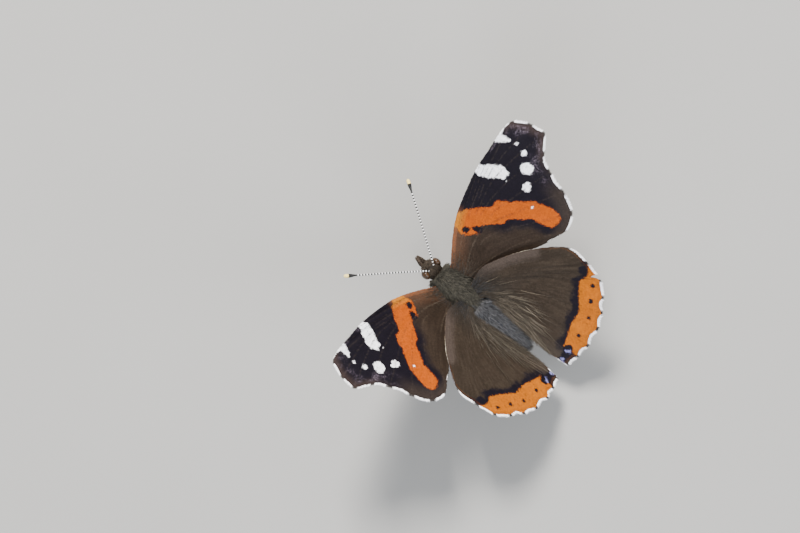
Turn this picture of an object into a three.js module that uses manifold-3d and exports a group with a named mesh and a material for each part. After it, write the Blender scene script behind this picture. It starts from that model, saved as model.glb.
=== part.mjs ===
// Red admiral butterfly at life size, standing with its wings open in a shallow V.
// Millimetres, +Z up, head towards -Y, the insect's left side towards +X.
import * as THREE from 'three';
import { mergeVertices } from 'three/addons/utils/BufferGeometryUtils.js';
import Module from 'manifold-3d';

const wasm = await Module();
wasm.setup();

// Driving dimensions of the whole insect
const GAP = 0.3;
const BODY_HEIGHT = 7.4;
const BODY_PITCH_DEG = 8;
const FLOOR_CUT_SIZE = 60;
const SNAP = 1e6;

// Thorax, measured from the point midway along its back
const THORAX = {
  front: -4.45, back: 4.0, halfWidth: 2.6, top: 2.25, bottom: 2.35, fullness: 2.4, rows: 12, sides: 20
};

// Head, eyes and mouthparts
const HEAD = {
  front: -7.15, back: -4.2, halfWidth: 1.5, top: 1.35, bottom: 1.35, fullness: 2.2, rows: 10, sides: 18
};
const EYE = { out: 1.42, along: -5.75, up: 0.05, thick: 0.63, long: 0.88, tall: 1.08, rows: 10, sides: 14 };
const PALP = { rootOut: 0.46, rootAlong: -6.4, rootUp: -0.75, tipOut: 0.2, tipAlong: -8.7, tipUp: 0.1 };
const PALP_SAG = 0.12;
const PALP_RADII = [0.33, 0.33, 0.3, 0.12];
const COIL = { along: -6.3, up: -1.75, radius: 0.72, wire: 0.27, wireSides: 8, turnSides: 16 };

// Antennae: the right one points a little further forward than the left
const ANTENNA_ROOT = { out: 0.55, along: -5.75, up: 0.8 };
const ANTENNA_TIP_LEFT = { out: 10.7, along: -16.5, up: 3.9 };
const ANTENNA_TIP_RIGHT = { out: 8.9, along: -18.1, up: 3.9 };
const ANTENNA_BOW = { at: 0.45, rise: 0.35 };
const ANTENNA_RADIUS = 0.25;
const CLUB = { radius: 0.36, swells: [0.82, 0.89], rounds: [0.94, 1.04], rounding: 1.2 };
const ROD = { antennaSides: 6, antennaSteps: 24, sides: 8, palpSteps: 8 };

// Abdomen, seven visible rings
const ABDOMEN = { front: 2.6, back: 15.1, halfWidth: 2.0, top: 1.75, bottom: 1.7, drop: 0.9, sides: 18 };
const TAPER = { power: 2.6, roundness: 0.8 };
const WAIST = { width: 0.8, ends: 0.4 };
const ABDOMEN_RINGS = 7;
const ABDOMEN_STEP = 0.05;

// Wings: both pairs share a hinge line beside the thorax
const HINGE_OUT = 2.08;
const HINGE_UP = 1.4;
const DIHEDRAL_DEG = 38;
const FORE_SWEEP_DEG = 1.2;
const MEMBRANE = 0.5;
const MARGIN = 0.4;
const VEIN = { rootRise: 0.17, tipRise: 0.09, halfWidth: 0.3, widest: 0.4, branchFade: 0.05 };
const ROOT_SUNK = -1.4;

// The forewing's hind edge dips under the hindwing's front edge, and both margins curve down.
const FORE_DIP = { edge: 0.8, slope: 0.4, from: 2, to: 6, depth: 0.5 };
const FORE_TIP = { from: 18, to: 31, depth: 0.5 };
const HIND_LIFT = { edge: 0.55, slope: 0.02, curve: 0.034, from: 2.2, to: 6.5, height: 0.58 };
const HIND_HEM = { from: 15, to: 23, depth: 0.5 };

// Wing edges and veins from the root outwards: distance out from the hinge line, then distance
// back from the thorax centre. A vein's starts is the share of its line where it leaves another.
// The points of a margin are by turns the end of an edge or vein and the spot halfway to the next.
const FOREWING = {
  rootFront: [ROOT_SUNK, -2.7],
  rootBack: [ROOT_SUNK, -0.1],
  frontEdge: [[0.45, -3.5], [5.1, -6.05], [8.7, -7.6]],
  veins: [
    { name: 'subcosta', starts: 0, line: [[0.5, -3.2], [6.0, -6.05], [11.0, -7.85]] },
    { name: 'radius one', starts: 0.45, line: [[0.5, -2.85], [6.0, -5.65], [11.0, -7.3], [15.5, -8.6]] },
    { name: 'radius two', starts: 0.5, line: [[0.5, -2.5], [6.0, -5.2], [12.0, -7.0], [18.0, -8.7]] },
    { name: 'radius four', starts: 0, line: [[0.5, -2.2], [6.0, -4.8], [12.5, -6.7], [20.0, -8.3]] },
    { name: 'radius five', starts: 0.5, line: [[0.5, -1.9], [6.0, -4.4], [12.8, -6.2], [20.0, -7.6]] },
    { name: 'media one', starts: 0.42, line: [[0.5, -1.55], [6.0, -4.0], [13.0, -5.6], [20.0, -6.3]] },
    { name: 'media two', starts: 0.45, line: [[0.5, -1.2], [6.0, -3.5], [13.0, -4.7], [20.0, -4.2]] },
    { name: 'cubitus stem', starts: 0, line: [[0.5, -0.85], [6.0, -2.6], [12.2, -3.2], [18.0, -1.9]] },
    { name: 'cubitus one', starts: 0.42, line: [[0.5, -0.5], [6.0, -2.0], [11.0, -2.4], [17.0, 0.4]] },
    { name: 'cubitus two', starts: 0.33, line: [[0.5, -0.2], [6.0, -1.4], [9.0, -1.4], [14.0, 1.6]] },
    { name: 'anal', starts: 0, line: [[0.5, 0.15], [6.0, 1.3], [12.0, 3.9]] }
  ],
  backEdge: [[0.4, 0.6], [5.0, 2.85], [10.0, 4.9]],
  margin: [
    [12.0, -8.45], [13.8, -8.85], [15.6, -9.25], [17.8, -9.65], [20.0, -9.85], [22.3, -9.95],
    [24.6, -10.05], [27.0, -10.15], [29.0, -9.75], [30.3, -8.5], [30.8, -6.9], [31.0, -5.5],
    [31.05, -4.2], [29.5, -2.95], [27.9, -2.15], [26.9, -1.3], [26.0, 0.4], [25.3, 2.2],
    [24.5, 4.2], [23.5, 6.1], [22.0, 7.55], [20.3, 8.5], [18.3, 8.4], [16.6, 7.75],
    [14.2, 6.8]
  ]
};
const HINDWING = {
  rootFront: [ROOT_SUNK, 1.5],
  rootBack: [ROOT_SUNK, 4.0],
  frontEdge: [[0.4, 1.2], [3.7, 0.9], [7.0, 2.2], [10.2, 4.0]],
  veins: [
    { name: 'subcosta', starts: 0, line: [[0.4, 1.6], [4.0, 2.0], [8.0, 4.0], [12.5, 7.2]] },
    { name: 'radius', starts: 0, line: [[0.35, 1.95], [4.0, 3.0], [8.0, 5.6], [12.0, 9.3]] },
    { name: 'media one', starts: 0.35, line: [[0.3, 2.3], [4.0, 3.9], [7.5, 7.0], [11.5, 11.6]] },
    { name: 'media two', starts: 0.38, line: [[0.3, 2.65], [3.8, 4.8], [7.0, 8.3], [10.4, 13.4]] },
    { name: 'cubitus stem', starts: 0, line: [[0.25, 3.0], [3.5, 6.0], [6.4, 9.8], [8.7, 15.2]] },
    { name: 'cubitus one', starts: 0.35, line: [[0.2, 3.3], [2.9, 6.6], [5.2, 10.2], [6.7, 16.0]] },
    { name: 'cubitus two', starts: 0.25, line: [[0.2, 3.6], [2.2, 7.0], [3.4, 10.5], [4.0, 16.0]] },
    { name: 'anal', starts: 0, line: [[0.2, 3.95], [1.4, 8.0], [1.8, 12.0], [1.7, 17.0]] },
    { name: 'inner anal', starts: 0, line: [[0.15, 4.3], [0.7, 8.5], [0.7, 12.0], [0.1, 17.0]] }
  ],
  backEdge: [[0.0, 4.6], [-0.4, 8.5], [-0.6, 12.5], [-1.1, 17.0]],
  margin: [
    [12.2, 5.4], [14.6, 7.2], [17.0, 9.9], [17.35, 12.0], [17.0, 14.2], [16.5, 16.0],
    [15.7, 17.7], [14.6, 18.9], [13.3, 19.9], [12.1, 20.4], [10.7, 21.4], [9.2, 21.9],
    [7.7, 22.5], [5.8, 22.5], [4.0, 22.95], [2.6, 22.7], [1.2, 22.7], [0.0, 22.5],
    [-1.2, 22.2], [-1.45, 21.2], [-1.4, 20.0]
  ]
};
const ROWS = 10;

// The tear in the right hindwing's outer corner
const TEAR = [[17.2, 17.1], [14.6, 15.6], [16.2, 18.6]];
const TEAR_DEPTH = 8;

// Legs, as joints from the hip to the toe: out, back, and height above the floor
const MID_LEG = [[1.0, -0.6, 5.6], [4.6, -1.6, 6.3], [6.6, -2.5, 1.2], [7.6, -2.9, 0.19], [9.4, -3.6, 0.19]];
const HIND_LEG = [[1.0, 1.4, 5.4], [4.2, 5.2, 6.0], [5.8, 7.8, 1.2], [6.4, 8.9, 0.19], [7.4, 10.6, 0.19]];
const FORE_LEG = [[0.9, -2.8, 6.2], [1.25, -4.9, 4.6], [1.15, -3.4, 3.6], [1.1, -2.5, 3.3]];
const LEG_RADII = [0.42, 0.36, 0.28, 0.26, 0.26];
const FORE_LEG_RADII = [0.38, 0.34, 0.3, 0.25];
const LEG_STEPS = [0.08, 0.5, 0.92];

// Colours, seen as the mean of each part
const COLOURS = {
  thorax: 0x3f3a36, abdomen: 0x4b4e58, head: 0x35302d, eye: 0x6b4a22, antenna: 0x241f1e, palp: 0x5a544e,
  proboscis: 0x2c2420, forewing: 0x2a2026, hindwing: 0x3c322b, leg: 0x6a5440
};

const EYE_ROUGHNESS = 0.3;
const COAT_ROUGHNESS = 0.8;

function material(name) {
  const roughness = name === 'eye' ? EYE_ROUGHNESS : COAT_ROUGHNESS;
  return new THREE.MeshStandardMaterial({ color: COLOURS[name], roughness, metalness: 0 });
}

// Moves every vertex of a closed three.js shape and welds its seams.
function reshape(shape, move) {
  const positions = shape.getAttribute('position');
  const vertex = new THREE.Vector3();
  for (let i = 0; i < positions.count; i += 1) {
    vertex.fromBufferAttribute(positions, i).multiplyScalar(SNAP).round().divideScalar(SNAP);
    move(vertex);
    positions.setXYZ(i, vertex.x, vertex.y, vertex.z);
  }
  return welded(shape);
}

function welded(shape) {
  shape.deleteAttribute('normal');
  shape.deleteAttribute('uv');
  return mergeVertices(shape, 1e-5);
}

function toSolid(geometry) {
  return new wasm.Manifold(new wasm.Mesh({
    numProp: 3,
    vertProperties: new Float32Array(geometry.getAttribute('position').array),
    triVerts: new Uint32Array(geometry.index.array)
  }));
}

function toGeometry(solid) {
  const mesh = largestBody(solid).getMesh();
  const geometry = new THREE.BufferGeometry();
  geometry.setAttribute('position', new THREE.BufferAttribute(new Float32Array(mesh.vertProperties), 3));
  geometry.setIndex(new THREE.BufferAttribute(new Uint32Array(mesh.triVerts), 1));
  geometry.computeVertexNormals();
  return geometry;
}

function largestBody(solid) {
  const bodies = solid.decompose();
  bodies.sort((a, b) => b.volume() - a.volume());
  return bodies[0];
}

// A closed rounded form along Y. place gets the share of the length and the direction round it.
function rounded(rows, sides, place) {
  return reshape(new THREE.SphereGeometry(1, sides, rows), (vertex) => {
    const share = Math.acos(THREE.MathUtils.clamp(vertex.y, -1, 1)) / Math.PI;
    const reach = Math.hypot(vertex.x, vertex.z);
    const pole = reach < 1e-4;
    vertex.copy(place(share, pole ? 0 : -vertex.x / reach, pole ? 0 : vertex.z / reach));
  });
}

// An egg-like form with a fuller or slimmer outline, grown all round by the same amount.
function ovoid(size, grow = 0) {
  const middle = (size.front + size.back) / 2;
  const half = (size.back - size.front) / 2 + grow;
  return rounded(size.rows, size.sides, (share, out, up) => {
    const along = -Math.cos(Math.PI * share);
    const swell = Math.pow(Math.max(0, 1 - Math.pow(Math.abs(along), size.fullness)), 1 / size.fullness);
    const wide = size.halfWidth + grow;
    const tall = up > 0 ? size.top + grow : size.bottom + grow;
    return new THREE.Vector3(out * swell * wide, middle + along * half, up * swell * tall);
  });
}

function eyeball(side, grow = 0) {
  const ball = new THREE.SphereGeometry(1, EYE.sides, EYE.rows);
  return reshape(ball, (vertex) => {
    vertex.multiply(new THREE.Vector3(EYE.thick + grow, EYE.long + grow, EYE.tall + grow));
    vertex.add(new THREE.Vector3(side * EYE.out, EYE.along, EYE.up));
  });
}

// The abdomen swells behind the waist, then tapers, with a small step behind each ring.
function abdomenForm(grow = 0) {
  const rows = ABDOMEN_RINGS * 2;
  return rounded(rows, ABDOMEN.sides, (share, out, up) => {
    const row = Math.round(share * rows);
    const along = THREE.MathUtils.lerp(ABDOMEN.front - grow, ABDOMEN.back + grow, share);
    const taper = Math.pow(Math.max(0, 1 - Math.pow(share, TAPER.power)), TAPER.roundness);
    const filled = THREE.MathUtils.smoothstep(share, 0, WAIST.ends);
    const waist = THREE.MathUtils.lerp(WAIST.width, 1, filled);
    const step = row % 2 === 0 ? 1 + ABDOMEN_STEP : 1 - ABDOMEN_STEP;
    const swell = taper * waist * step;
    const height = up > 0 ? ABDOMEN.top : ABDOMEN.bottom;
    const drop = -ABDOMEN.drop * share * share;
    return new THREE.Vector3(
      out * (swell * ABDOMEN.halfWidth + grow), along, drop + up * (swell * height + grow));
  });
}

// A closed round rod along a smooth line, with its own radius at each share of the length
function rod(points, sides, steps, radiusAt) {
  const line = new THREE.CatmullRomCurve3(points, false, 'centripetal');
  const above = new THREE.Vector3(0, 0, 1);
  return reshape(new THREE.CylinderGeometry(1, 1, 1, sides, steps), (vertex) => {
    const share = 0.5 - vertex.y;
    const tangent = line.getTangent(share);
    const up = above.clone().projectOnPlane(tangent).normalize();
    const across = new THREE.Vector3().crossVectors(up, tangent);
    const radius = radiusAt(share);
    const wide = across.multiplyScalar(vertex.x * radius);
    const high = up.multiplyScalar(vertex.z * radius);
    vertex.copy(line.getPoint(share)).add(wide).add(high);
  });
}

function taperedRod(points, radii, steps) {
  const spline = new THREE.SplineCurve(radii.map((radius, i) => new THREE.Vector2(i, radius)));
  return rod(points, ROD.sides, steps, (share) => spline.getPoint(share).y);
}

// The height of the sheet over the wing plane, from its two wing distances
function foreRise(out, back) {
  const inside = FORE_DIP.edge + FORE_DIP.slope * out - back;
  const dip = 1 - THREE.MathUtils.smoothstep(inside, FORE_DIP.from, FORE_DIP.to);
  const tip = THREE.MathUtils.smoothstep(out, FORE_TIP.from, FORE_TIP.to);
  return -FORE_DIP.depth * dip - FORE_TIP.depth * tip * tip;
}

function hindRise(out, back) {
  const inside = back - (HIND_LIFT.edge + HIND_LIFT.slope * out + HIND_LIFT.curve * out * out);
  const lift = 1 - THREE.MathUtils.smoothstep(inside, HIND_LIFT.from, HIND_LIFT.to);
  const hem = THREE.MathUtils.smoothstep(back, HIND_HEM.from, HIND_HEM.to);
  return HIND_LIFT.height * lift - HIND_HEM.depth * hem * hem;
}

// Turns the two wing distances and a height over the wing plane into a point beside the thorax.
function wingPoint(wing, side, out, back, high) {
  const sweep = THREE.MathUtils.degToRad(wing.sweep) * side;
  const tilt = THREE.MathUtils.degToRad(DIHEDRAL_DEG);
  const span = out * Math.cos(sweep) - back * Math.sin(sweep);
  const rear = out * Math.sin(sweep) + back * Math.cos(sweep);
  return new THREE.Vector3(
    side * (HINGE_OUT + span * Math.cos(tilt) - high * Math.sin(tilt)),
    rear,
    HINGE_UP + span * Math.sin(tilt) + high * Math.cos(tilt));
}

// The wing's lines, each from the root out to its own point of the margin.
function wingLines(plan) {
  const edges = [plan.frontEdge, ...plan.veins.map((vein) => vein.line), plan.backEdge];
  const last = edges.length - 1;
  const rootFront = new THREE.Vector2(...plan.rootFront);
  const rootBack = new THREE.Vector2(...plan.rootBack);
  return edges.map((line, i) => {
    const root = rootFront.clone().lerp(rootBack, i / last);
    const inner = line.map(([out, back]) => new THREE.Vector2(out, back));
    const end = new THREE.Vector2(...plan.margin[2 * i]);
    return new THREE.SplineCurve([root, ...inner, end]);
  });
}

// The grid of one wing as columns of spots: each vein has a crest between two flanks, and a
// column runs midway between each two lines.
function wingColumns(plan) {
  const lines = wingLines(plan);
  const shares = Array.from({ length: ROWS + 1 }, (_, row) => row / ROWS);
  const spots = lines.map((line) => shares.map((share) => line.getPointAt(share)));
  const between = spots.slice(1).map((next, i) => {
    const halfway = shares.map((_, row) => spots[i][row].clone().lerp(next[row], 0.5));
    const shift = new THREE.Vector2(...plan.margin[2 * i + 1]).sub(halfway[ROWS]);
    return halfway.map((spot, row) => spot.addScaledVector(shift, shares[row] ** 4));
  });
  const flank = (crest, next) => crest.map((spot, row) => {
    const reach = spot.distanceTo(next[row]);
    return spot.clone().lerp(next[row], Math.min(VEIN.widest, VEIN.halfWidth / reach));
  });
  const columns = [{ spots: spots[0], edge: true }];
  plan.veins.forEach((vein, i) => {
    const crest = spots[i + 1];
    columns.push({ spots: between[i] });
    columns.push({ spots: flank(crest, between[i]) });
    columns.push({ spots: crest, vein });
    columns.push({ spots: flank(crest, between[i + 1]) });
  });
  columns.push({ spots: between[plan.veins.length] });
  columns.push({ spots: spots[spots.length - 1], edge: true });
  return columns;
}

// Half the sheet's thickness: less at its rim, more along a vein.
function halfThickness(column, row) {
  const rim = column.edge || row === ROWS;
  const half = (rim ? MARGIN : MEMBRANE) / 2;
  if (!column.vein) {
    return half;
  }
  const share = row / ROWS;
  const rise = THREE.MathUtils.lerp(VEIN.rootRise, VEIN.tipRise, share);
  const { starts } = column.vein;
  if (starts === 0) {
    return half + rise;
  }
  return half + rise * THREE.MathUtils.smoothstep(share, starts - VEIN.branchFade, starts + VEIN.branchFade);
}

// The membrane with its raised veins: one grid used for both faces, joined round its rim.
function wingSheet(wing, side) {
  const columns = wing.columns.length - 1;
  const plane = new THREE.PlaneGeometry(1, 1, columns, ROWS);
  const count = (columns + 1) * (ROWS + 1);
  const positions = [];
  for (const face of [1, -1]) {
    for (let i = 0; i < count; i += 1) {
      const column = wing.columns[i % (columns + 1)];
      const row = Math.floor(i / (columns + 1));
      const spot = column.spots[row];
      const high = wing.rise(spot.x, spot.y) + face * halfThickness(column, row);
      positions.push(...wingPoint(wing, side, spot.x, spot.y, high));
    }
  }
  const faces = Array.from(plane.index.array);
  const indices = [];
  const addTriangle = (a, b, c) => (side > 0 ? indices.push(a, c, b) : indices.push(a, b, c));
  for (let i = 0; i < faces.length; i += 3) {
    addTriangle(faces[i], faces[i + 2], faces[i + 1]);
    addTriangle(faces[i] + count, faces[i + 1] + count, faces[i + 2] + count);
  }
  const loop = rimLoop(columns, ROWS);
  loop.forEach((a, i) => {
    const b = loop[(i + 1) % loop.length];
    addTriangle(b, a, a + count);
    addTriangle(b, a + count, b + count);
  });
  const geometry = new THREE.BufferGeometry();
  geometry.setAttribute('position', new THREE.Float32BufferAttribute(positions, 3));
  geometry.setIndex(indices);
  return geometry;
}

// The grid's border vertices in order round its rim.
function rimLoop(columns, rows) {
  const at = (column, row) => row * (columns + 1) + column;
  const loop = [];
  for (let column = 0; column < columns; column += 1) {
    loop.push(at(column, 0));
  }
  for (let row = 0; row < rows; row += 1) {
    loop.push(at(columns, row));
  }
  for (let column = columns; column > 0; column -= 1) {
    loop.push(at(column, rows));
  }
  for (let row = rows; row > 0; row -= 1) {
    loop.push(at(0, row));
  }
  return loop;
}

// The tear, a thin wedge through the right hindwing's margin.
function tearWedge(wing, side) {
  const shape = new THREE.Shape(TEAR.map(([out, back]) => new THREE.Vector2(out, back)));
  const wedge = new THREE.ExtrudeGeometry(shape, { depth: TEAR_DEPTH, bevelEnabled: false });
  const moved = reshape(wedge, (vertex) => {
    vertex.copy(wingPoint(wing, side, vertex.x, vertex.y, vertex.z - TEAR_DEPTH / 2));
  });
  return side > 0 ? moved : flipped(moved);
}

function flipped(geometry) {
  const index = geometry.index.array;
  for (let i = 0; i < index.length; i += 3) {
    [index[i], index[i + 1]] = [index[i + 1], index[i]];
  }
  return geometry;
}

function antenna(side) {
  const tip = side > 0 ? ANTENNA_TIP_LEFT : ANTENNA_TIP_RIGHT;
  const root = new THREE.Vector3(side * ANTENNA_ROOT.out, ANTENNA_ROOT.along, ANTENNA_ROOT.up);
  const end = new THREE.Vector3(side * tip.out, tip.along, tip.up);
  const middle = root.clone().lerp(end, ANTENNA_BOW.at);
  middle.z += ANTENNA_BOW.rise;
  return rod([root, middle, end], ROD.antennaSides, ROD.antennaSteps, (share) => {
    const club = THREE.MathUtils.smoothstep(share, ...CLUB.swells);
    const blunt = THREE.MathUtils.smoothstep(share, ...CLUB.rounds);
    const radius = THREE.MathUtils.lerp(ANTENNA_RADIUS, CLUB.radius, club);
    return radius * (1 - CLUB.rounding * blunt * blunt);
  });
}

function palp(side) {
  const root = new THREE.Vector3(side * PALP.rootOut, PALP.rootAlong, PALP.rootUp);
  const tip = new THREE.Vector3(side * PALP.tipOut, PALP.tipAlong, PALP.tipUp);
  const middle = root.clone().lerp(tip, 0.5);
  middle.z -= PALP_SAG;
  return taperedRod([root, middle, tip], PALP_RADII, ROD.palpSteps);
}

function coil() {
  const middle = COIL.radius - COIL.wire;
  const turn = new THREE.TorusGeometry(middle, COIL.wire, COIL.wireSides, COIL.turnSides);
  const disc = new THREE.CylinderGeometry(middle, middle, COIL.wire, COIL.turnSides);
  disc.rotateX(Math.PI / 2);
  const whole = toSolid(welded(turn)).add(toSolid(welded(disc)));
  return whole.rotate([0, 90, 0]).translate([0, COIL.along, COIL.up]);
}

// A leg from joint to joint, with its underside cut level with the floor.
function leg(joints, radii, side) {
  const points = joints.map(([out, back, high]) => new THREE.Vector3(side * out, back, high));
  const solid = toSolid(bentRod(points, radii));
  const below = new THREE.BoxGeometry(FLOOR_CUT_SIZE, FLOOR_CUT_SIZE, FLOOR_CUT_SIZE);
  below.translate(0, 0, -FLOOR_CUT_SIZE / 2);
  return solid.subtract(toSolid(welded(below)));
}

// A rod that keeps to straight stretches between its joints, with a short bend at each.
function bentRod(points, radii) {
  const line = [];
  const sizes = [];
  for (let i = 0; i < points.length - 1; i += 1) {
    for (const share of LEG_STEPS) {
      line.push(points[i].clone().lerp(points[i + 1], share));
      sizes.push(THREE.MathUtils.lerp(radii[i], radii[i + 1], share));
    }
  }
  return taperedRod(line, sizes, line.length * 2);
}

function addMesh(group, name, look, geometry) {
  const mesh = new THREE.Mesh(geometry, material(look));
  mesh.name = name;
  group.add(mesh);
}

const insect = new THREE.Group();
const trunk = new THREE.Group();
trunk.rotation.x = -THREE.MathUtils.degToRad(BODY_PITCH_DEG);
trunk.position.z = BODY_HEIGHT;
insect.add(trunk);
insect.updateMatrixWorld(true);

const grownThorax = toSolid(ovoid(THORAX, GAP));
const grownHead = toSolid(ovoid(HEAD, GAP));
const grownAbdomen = toSolid(abdomenForm(GAP));
const sides = [['left', 1], ['right', -1]];

addMesh(trunk, 'thorax', 'thorax', ovoid(THORAX));
addMesh(trunk, 'abdomen', 'abdomen', toGeometry(toSolid(abdomenForm()).subtract(grownThorax)));

let head = toSolid(ovoid(HEAD)).subtract(grownThorax);
for (const [, side] of sides) {
  head = head.subtract(toSolid(eyeball(side, GAP)));
}
addMesh(trunk, 'head', 'head', toGeometry(head));
addMesh(trunk, 'proboscis', 'proboscis', toGeometry(coil().subtract(grownHead)));

const forewing = { columns: wingColumns(FOREWING), rise: foreRise, sweep: FORE_SWEEP_DEG };
const hindwing = { columns: wingColumns(HINDWING), rise: hindRise, sweep: 0 };

const worldThorax = toSolid(ovoid(THORAX, GAP).applyMatrix4(trunk.matrixWorld));

const legs = [
  { name: 'leg_mid', joints: MID_LEG, radii: LEG_RADII },
  { name: 'leg_hind', joints: HIND_LEG, radii: LEG_RADII },
  { name: 'leg_fore', joints: FORE_LEG, radii: FORE_LEG_RADII }
];

for (const [name, side] of sides) {
  addMesh(trunk, `eye_${name}`, 'eye', eyeball(side));
  addMesh(trunk, `antenna_${name}`, 'antenna', toGeometry(toSolid(antenna(side)).subtract(grownHead)));
  addMesh(trunk, `palp_${name}`, 'palp', toGeometry(toSolid(palp(side)).subtract(grownHead)));

  const fore = toSolid(wingSheet(forewing, side)).subtract(grownThorax);
  addMesh(trunk, `forewing_${name}`, 'forewing', toGeometry(fore));

  let hind = toSolid(wingSheet(hindwing, side)).subtract(grownThorax).subtract(grownAbdomen);
  if (side < 0) {
    hind = hind.subtract(toSolid(tearWedge(hindwing, side)));
  }
  addMesh(trunk, `hindwing_${name}`, 'hindwing', toGeometry(hind));

  for (const limb of legs) {
    const solid = leg(limb.joints, limb.radii, side).subtract(worldThorax);
    addMesh(insect, `${limb.name}_${name}`, 'leg', toGeometry(solid));
  }
}

// The origin is under the middle of the insect's box, on the floor.
insect.updateMatrixWorld(true);
const box = new THREE.Box3().setFromObject(insect);
insect.position.set(-(box.min.x + box.max.x) / 2, -(box.min.y + box.max.y) / 2, -box.min.z);

const butterfly = new THREE.Group();
butterfly.add(insect);

export default butterfly;
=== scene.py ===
"""A red admiral butterfly, dressed over its solid frame, with a stage and a camera."""

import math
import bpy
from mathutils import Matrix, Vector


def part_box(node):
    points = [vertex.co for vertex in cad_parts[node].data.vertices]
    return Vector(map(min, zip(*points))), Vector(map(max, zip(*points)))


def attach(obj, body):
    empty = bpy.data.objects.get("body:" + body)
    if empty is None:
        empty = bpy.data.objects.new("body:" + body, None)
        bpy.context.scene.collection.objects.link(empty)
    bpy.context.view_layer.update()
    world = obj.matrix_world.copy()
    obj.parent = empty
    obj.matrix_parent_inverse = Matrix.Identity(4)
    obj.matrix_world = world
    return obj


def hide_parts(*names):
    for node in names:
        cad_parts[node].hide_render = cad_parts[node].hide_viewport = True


bl_info = {
    "name": "Red Admiral Butterfly",
    "version": (1, 0, 0),
    "blender": (4, 5, 0),
    "location": "View3D > Sidebar > Red Admiral",
    "description": "Builds the wings, body, coat and stage of a life-size red admiral",
    "category": "Object",
}

from typing import NamedTuple

import bmesh
import bpy
import numpy as np
from bpy.props import FloatProperty, FloatVectorProperty, IntProperty, PointerProperty
from mathutils import Matrix, Vector

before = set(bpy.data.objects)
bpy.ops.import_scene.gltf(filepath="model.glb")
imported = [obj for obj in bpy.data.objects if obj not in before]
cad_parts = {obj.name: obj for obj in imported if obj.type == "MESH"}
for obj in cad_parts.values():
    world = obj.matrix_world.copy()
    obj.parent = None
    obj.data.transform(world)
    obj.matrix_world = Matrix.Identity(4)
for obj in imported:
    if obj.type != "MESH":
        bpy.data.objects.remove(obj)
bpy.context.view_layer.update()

MM = 0.001
BODY = "root"
SIDES = (("left", 1.0), ("right", -1.0))

# Pose of the trunk, as the solids hold it: pitched head up, placed by the eyes
BODY_PITCH = math.radians(8.0)
EYE_PLACE = np.array([1.42, -5.75, 0.05])

# Wing hinges and their tilt, in millimetres and degrees
HINGE_OUT = 2.08
HINGE_UP = 1.4
DIHEDRAL = math.radians(38.0)
FORE_SWEEP = math.radians(1.2)
FORE_DROOP = 0.5
HIND_RAISE = 0.58
MARGIN_DROOP = 0.5
ROOT_SUNK = -1.4

# Photograph: frame size, where the thorax centre stands in it, scale and viewing angle
IMAGE_WIDTH = 800
IMAGE_HEIGHT = 533
THORAX_PIXEL = (458.4, 290.0)
PIXELS_PER_MM = 6.0
TAIL_ANGLE = math.radians(38.07)
SIDE_TILT = math.radians(8.64)
CAMERA_DISTANCE = 3.0
AIM_HEIGHT = 9.0
SENSOR_WIDTH = 36.0

# Lines of each wing from the root outwards: distance out from the hinge, then back from the
# thorax centre. A vein starts at the given share of its line.
FOREWING = {
    "root": ((ROOT_SUNK, -2.7), (ROOT_SUNK, -0.1)),
    "front": ((0.45, -3.5), (5.1, -6.05), (8.7, -7.6)),
    "veins": (
        (0.0, ((0.5, -3.2), (6.0, -6.05), (11.0, -7.85))),
        (0.45, ((0.5, -2.85), (6.0, -5.65), (11.0, -7.3), (15.5, -8.6))),
        (0.5, ((0.5, -2.5), (6.0, -5.2), (12.0, -7.0), (18.0, -8.7))),
        (0.0, ((0.5, -2.2), (6.0, -4.8), (12.5, -6.7), (20.0, -8.3))),
        (0.5, ((0.5, -1.9), (6.0, -4.4), (12.8, -6.2), (20.0, -7.6))),
        (0.42, ((0.5, -1.55), (6.0, -4.0), (13.0, -5.6), (20.0, -6.3))),
        (0.45, ((0.5, -1.2), (6.0, -3.5), (13.0, -4.7), (20.0, -4.2))),
        (0.0, ((0.5, -0.85), (6.0, -2.6), (12.2, -3.2), (18.0, -1.9))),
        (0.42, ((0.5, -0.5), (6.0, -2.0), (11.0, -2.4), (17.0, 0.4))),
        (0.33, ((0.5, -0.2), (6.0, -1.4), (9.0, -1.4), (14.0, 1.6))),
        (0.0, ((0.5, 0.15), (6.0, 1.3), (12.0, 3.9))),
    ),
    "back": ((0.4, 0.6), (5.0, 2.85), (10.0, 4.9)),
    "margin": (
        (12.0, -8.45), (13.8, -8.85), (15.6, -9.25), (17.8, -9.65), (20.0, -9.85), (22.3, -9.95),
        (24.6, -10.05), (27.0, -10.15), (29.0, -9.75), (30.3, -8.5), (30.8, -6.9), (31.0, -5.5),
        (31.05, -4.2), (29.5, -2.95), (27.9, -2.15), (26.9, -1.3), (26.0, 0.4), (25.3, 2.2),
        (24.5, 4.2), (23.5, 6.1), (22.0, 7.55), (20.3, 8.5), (18.3, 8.4), (16.6, 7.75), (14.2, 6.8),
    ),
    "cell_end": ((12.8, -6.55), (13.3, -5.2), (12.5, -3.2)),
}
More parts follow.
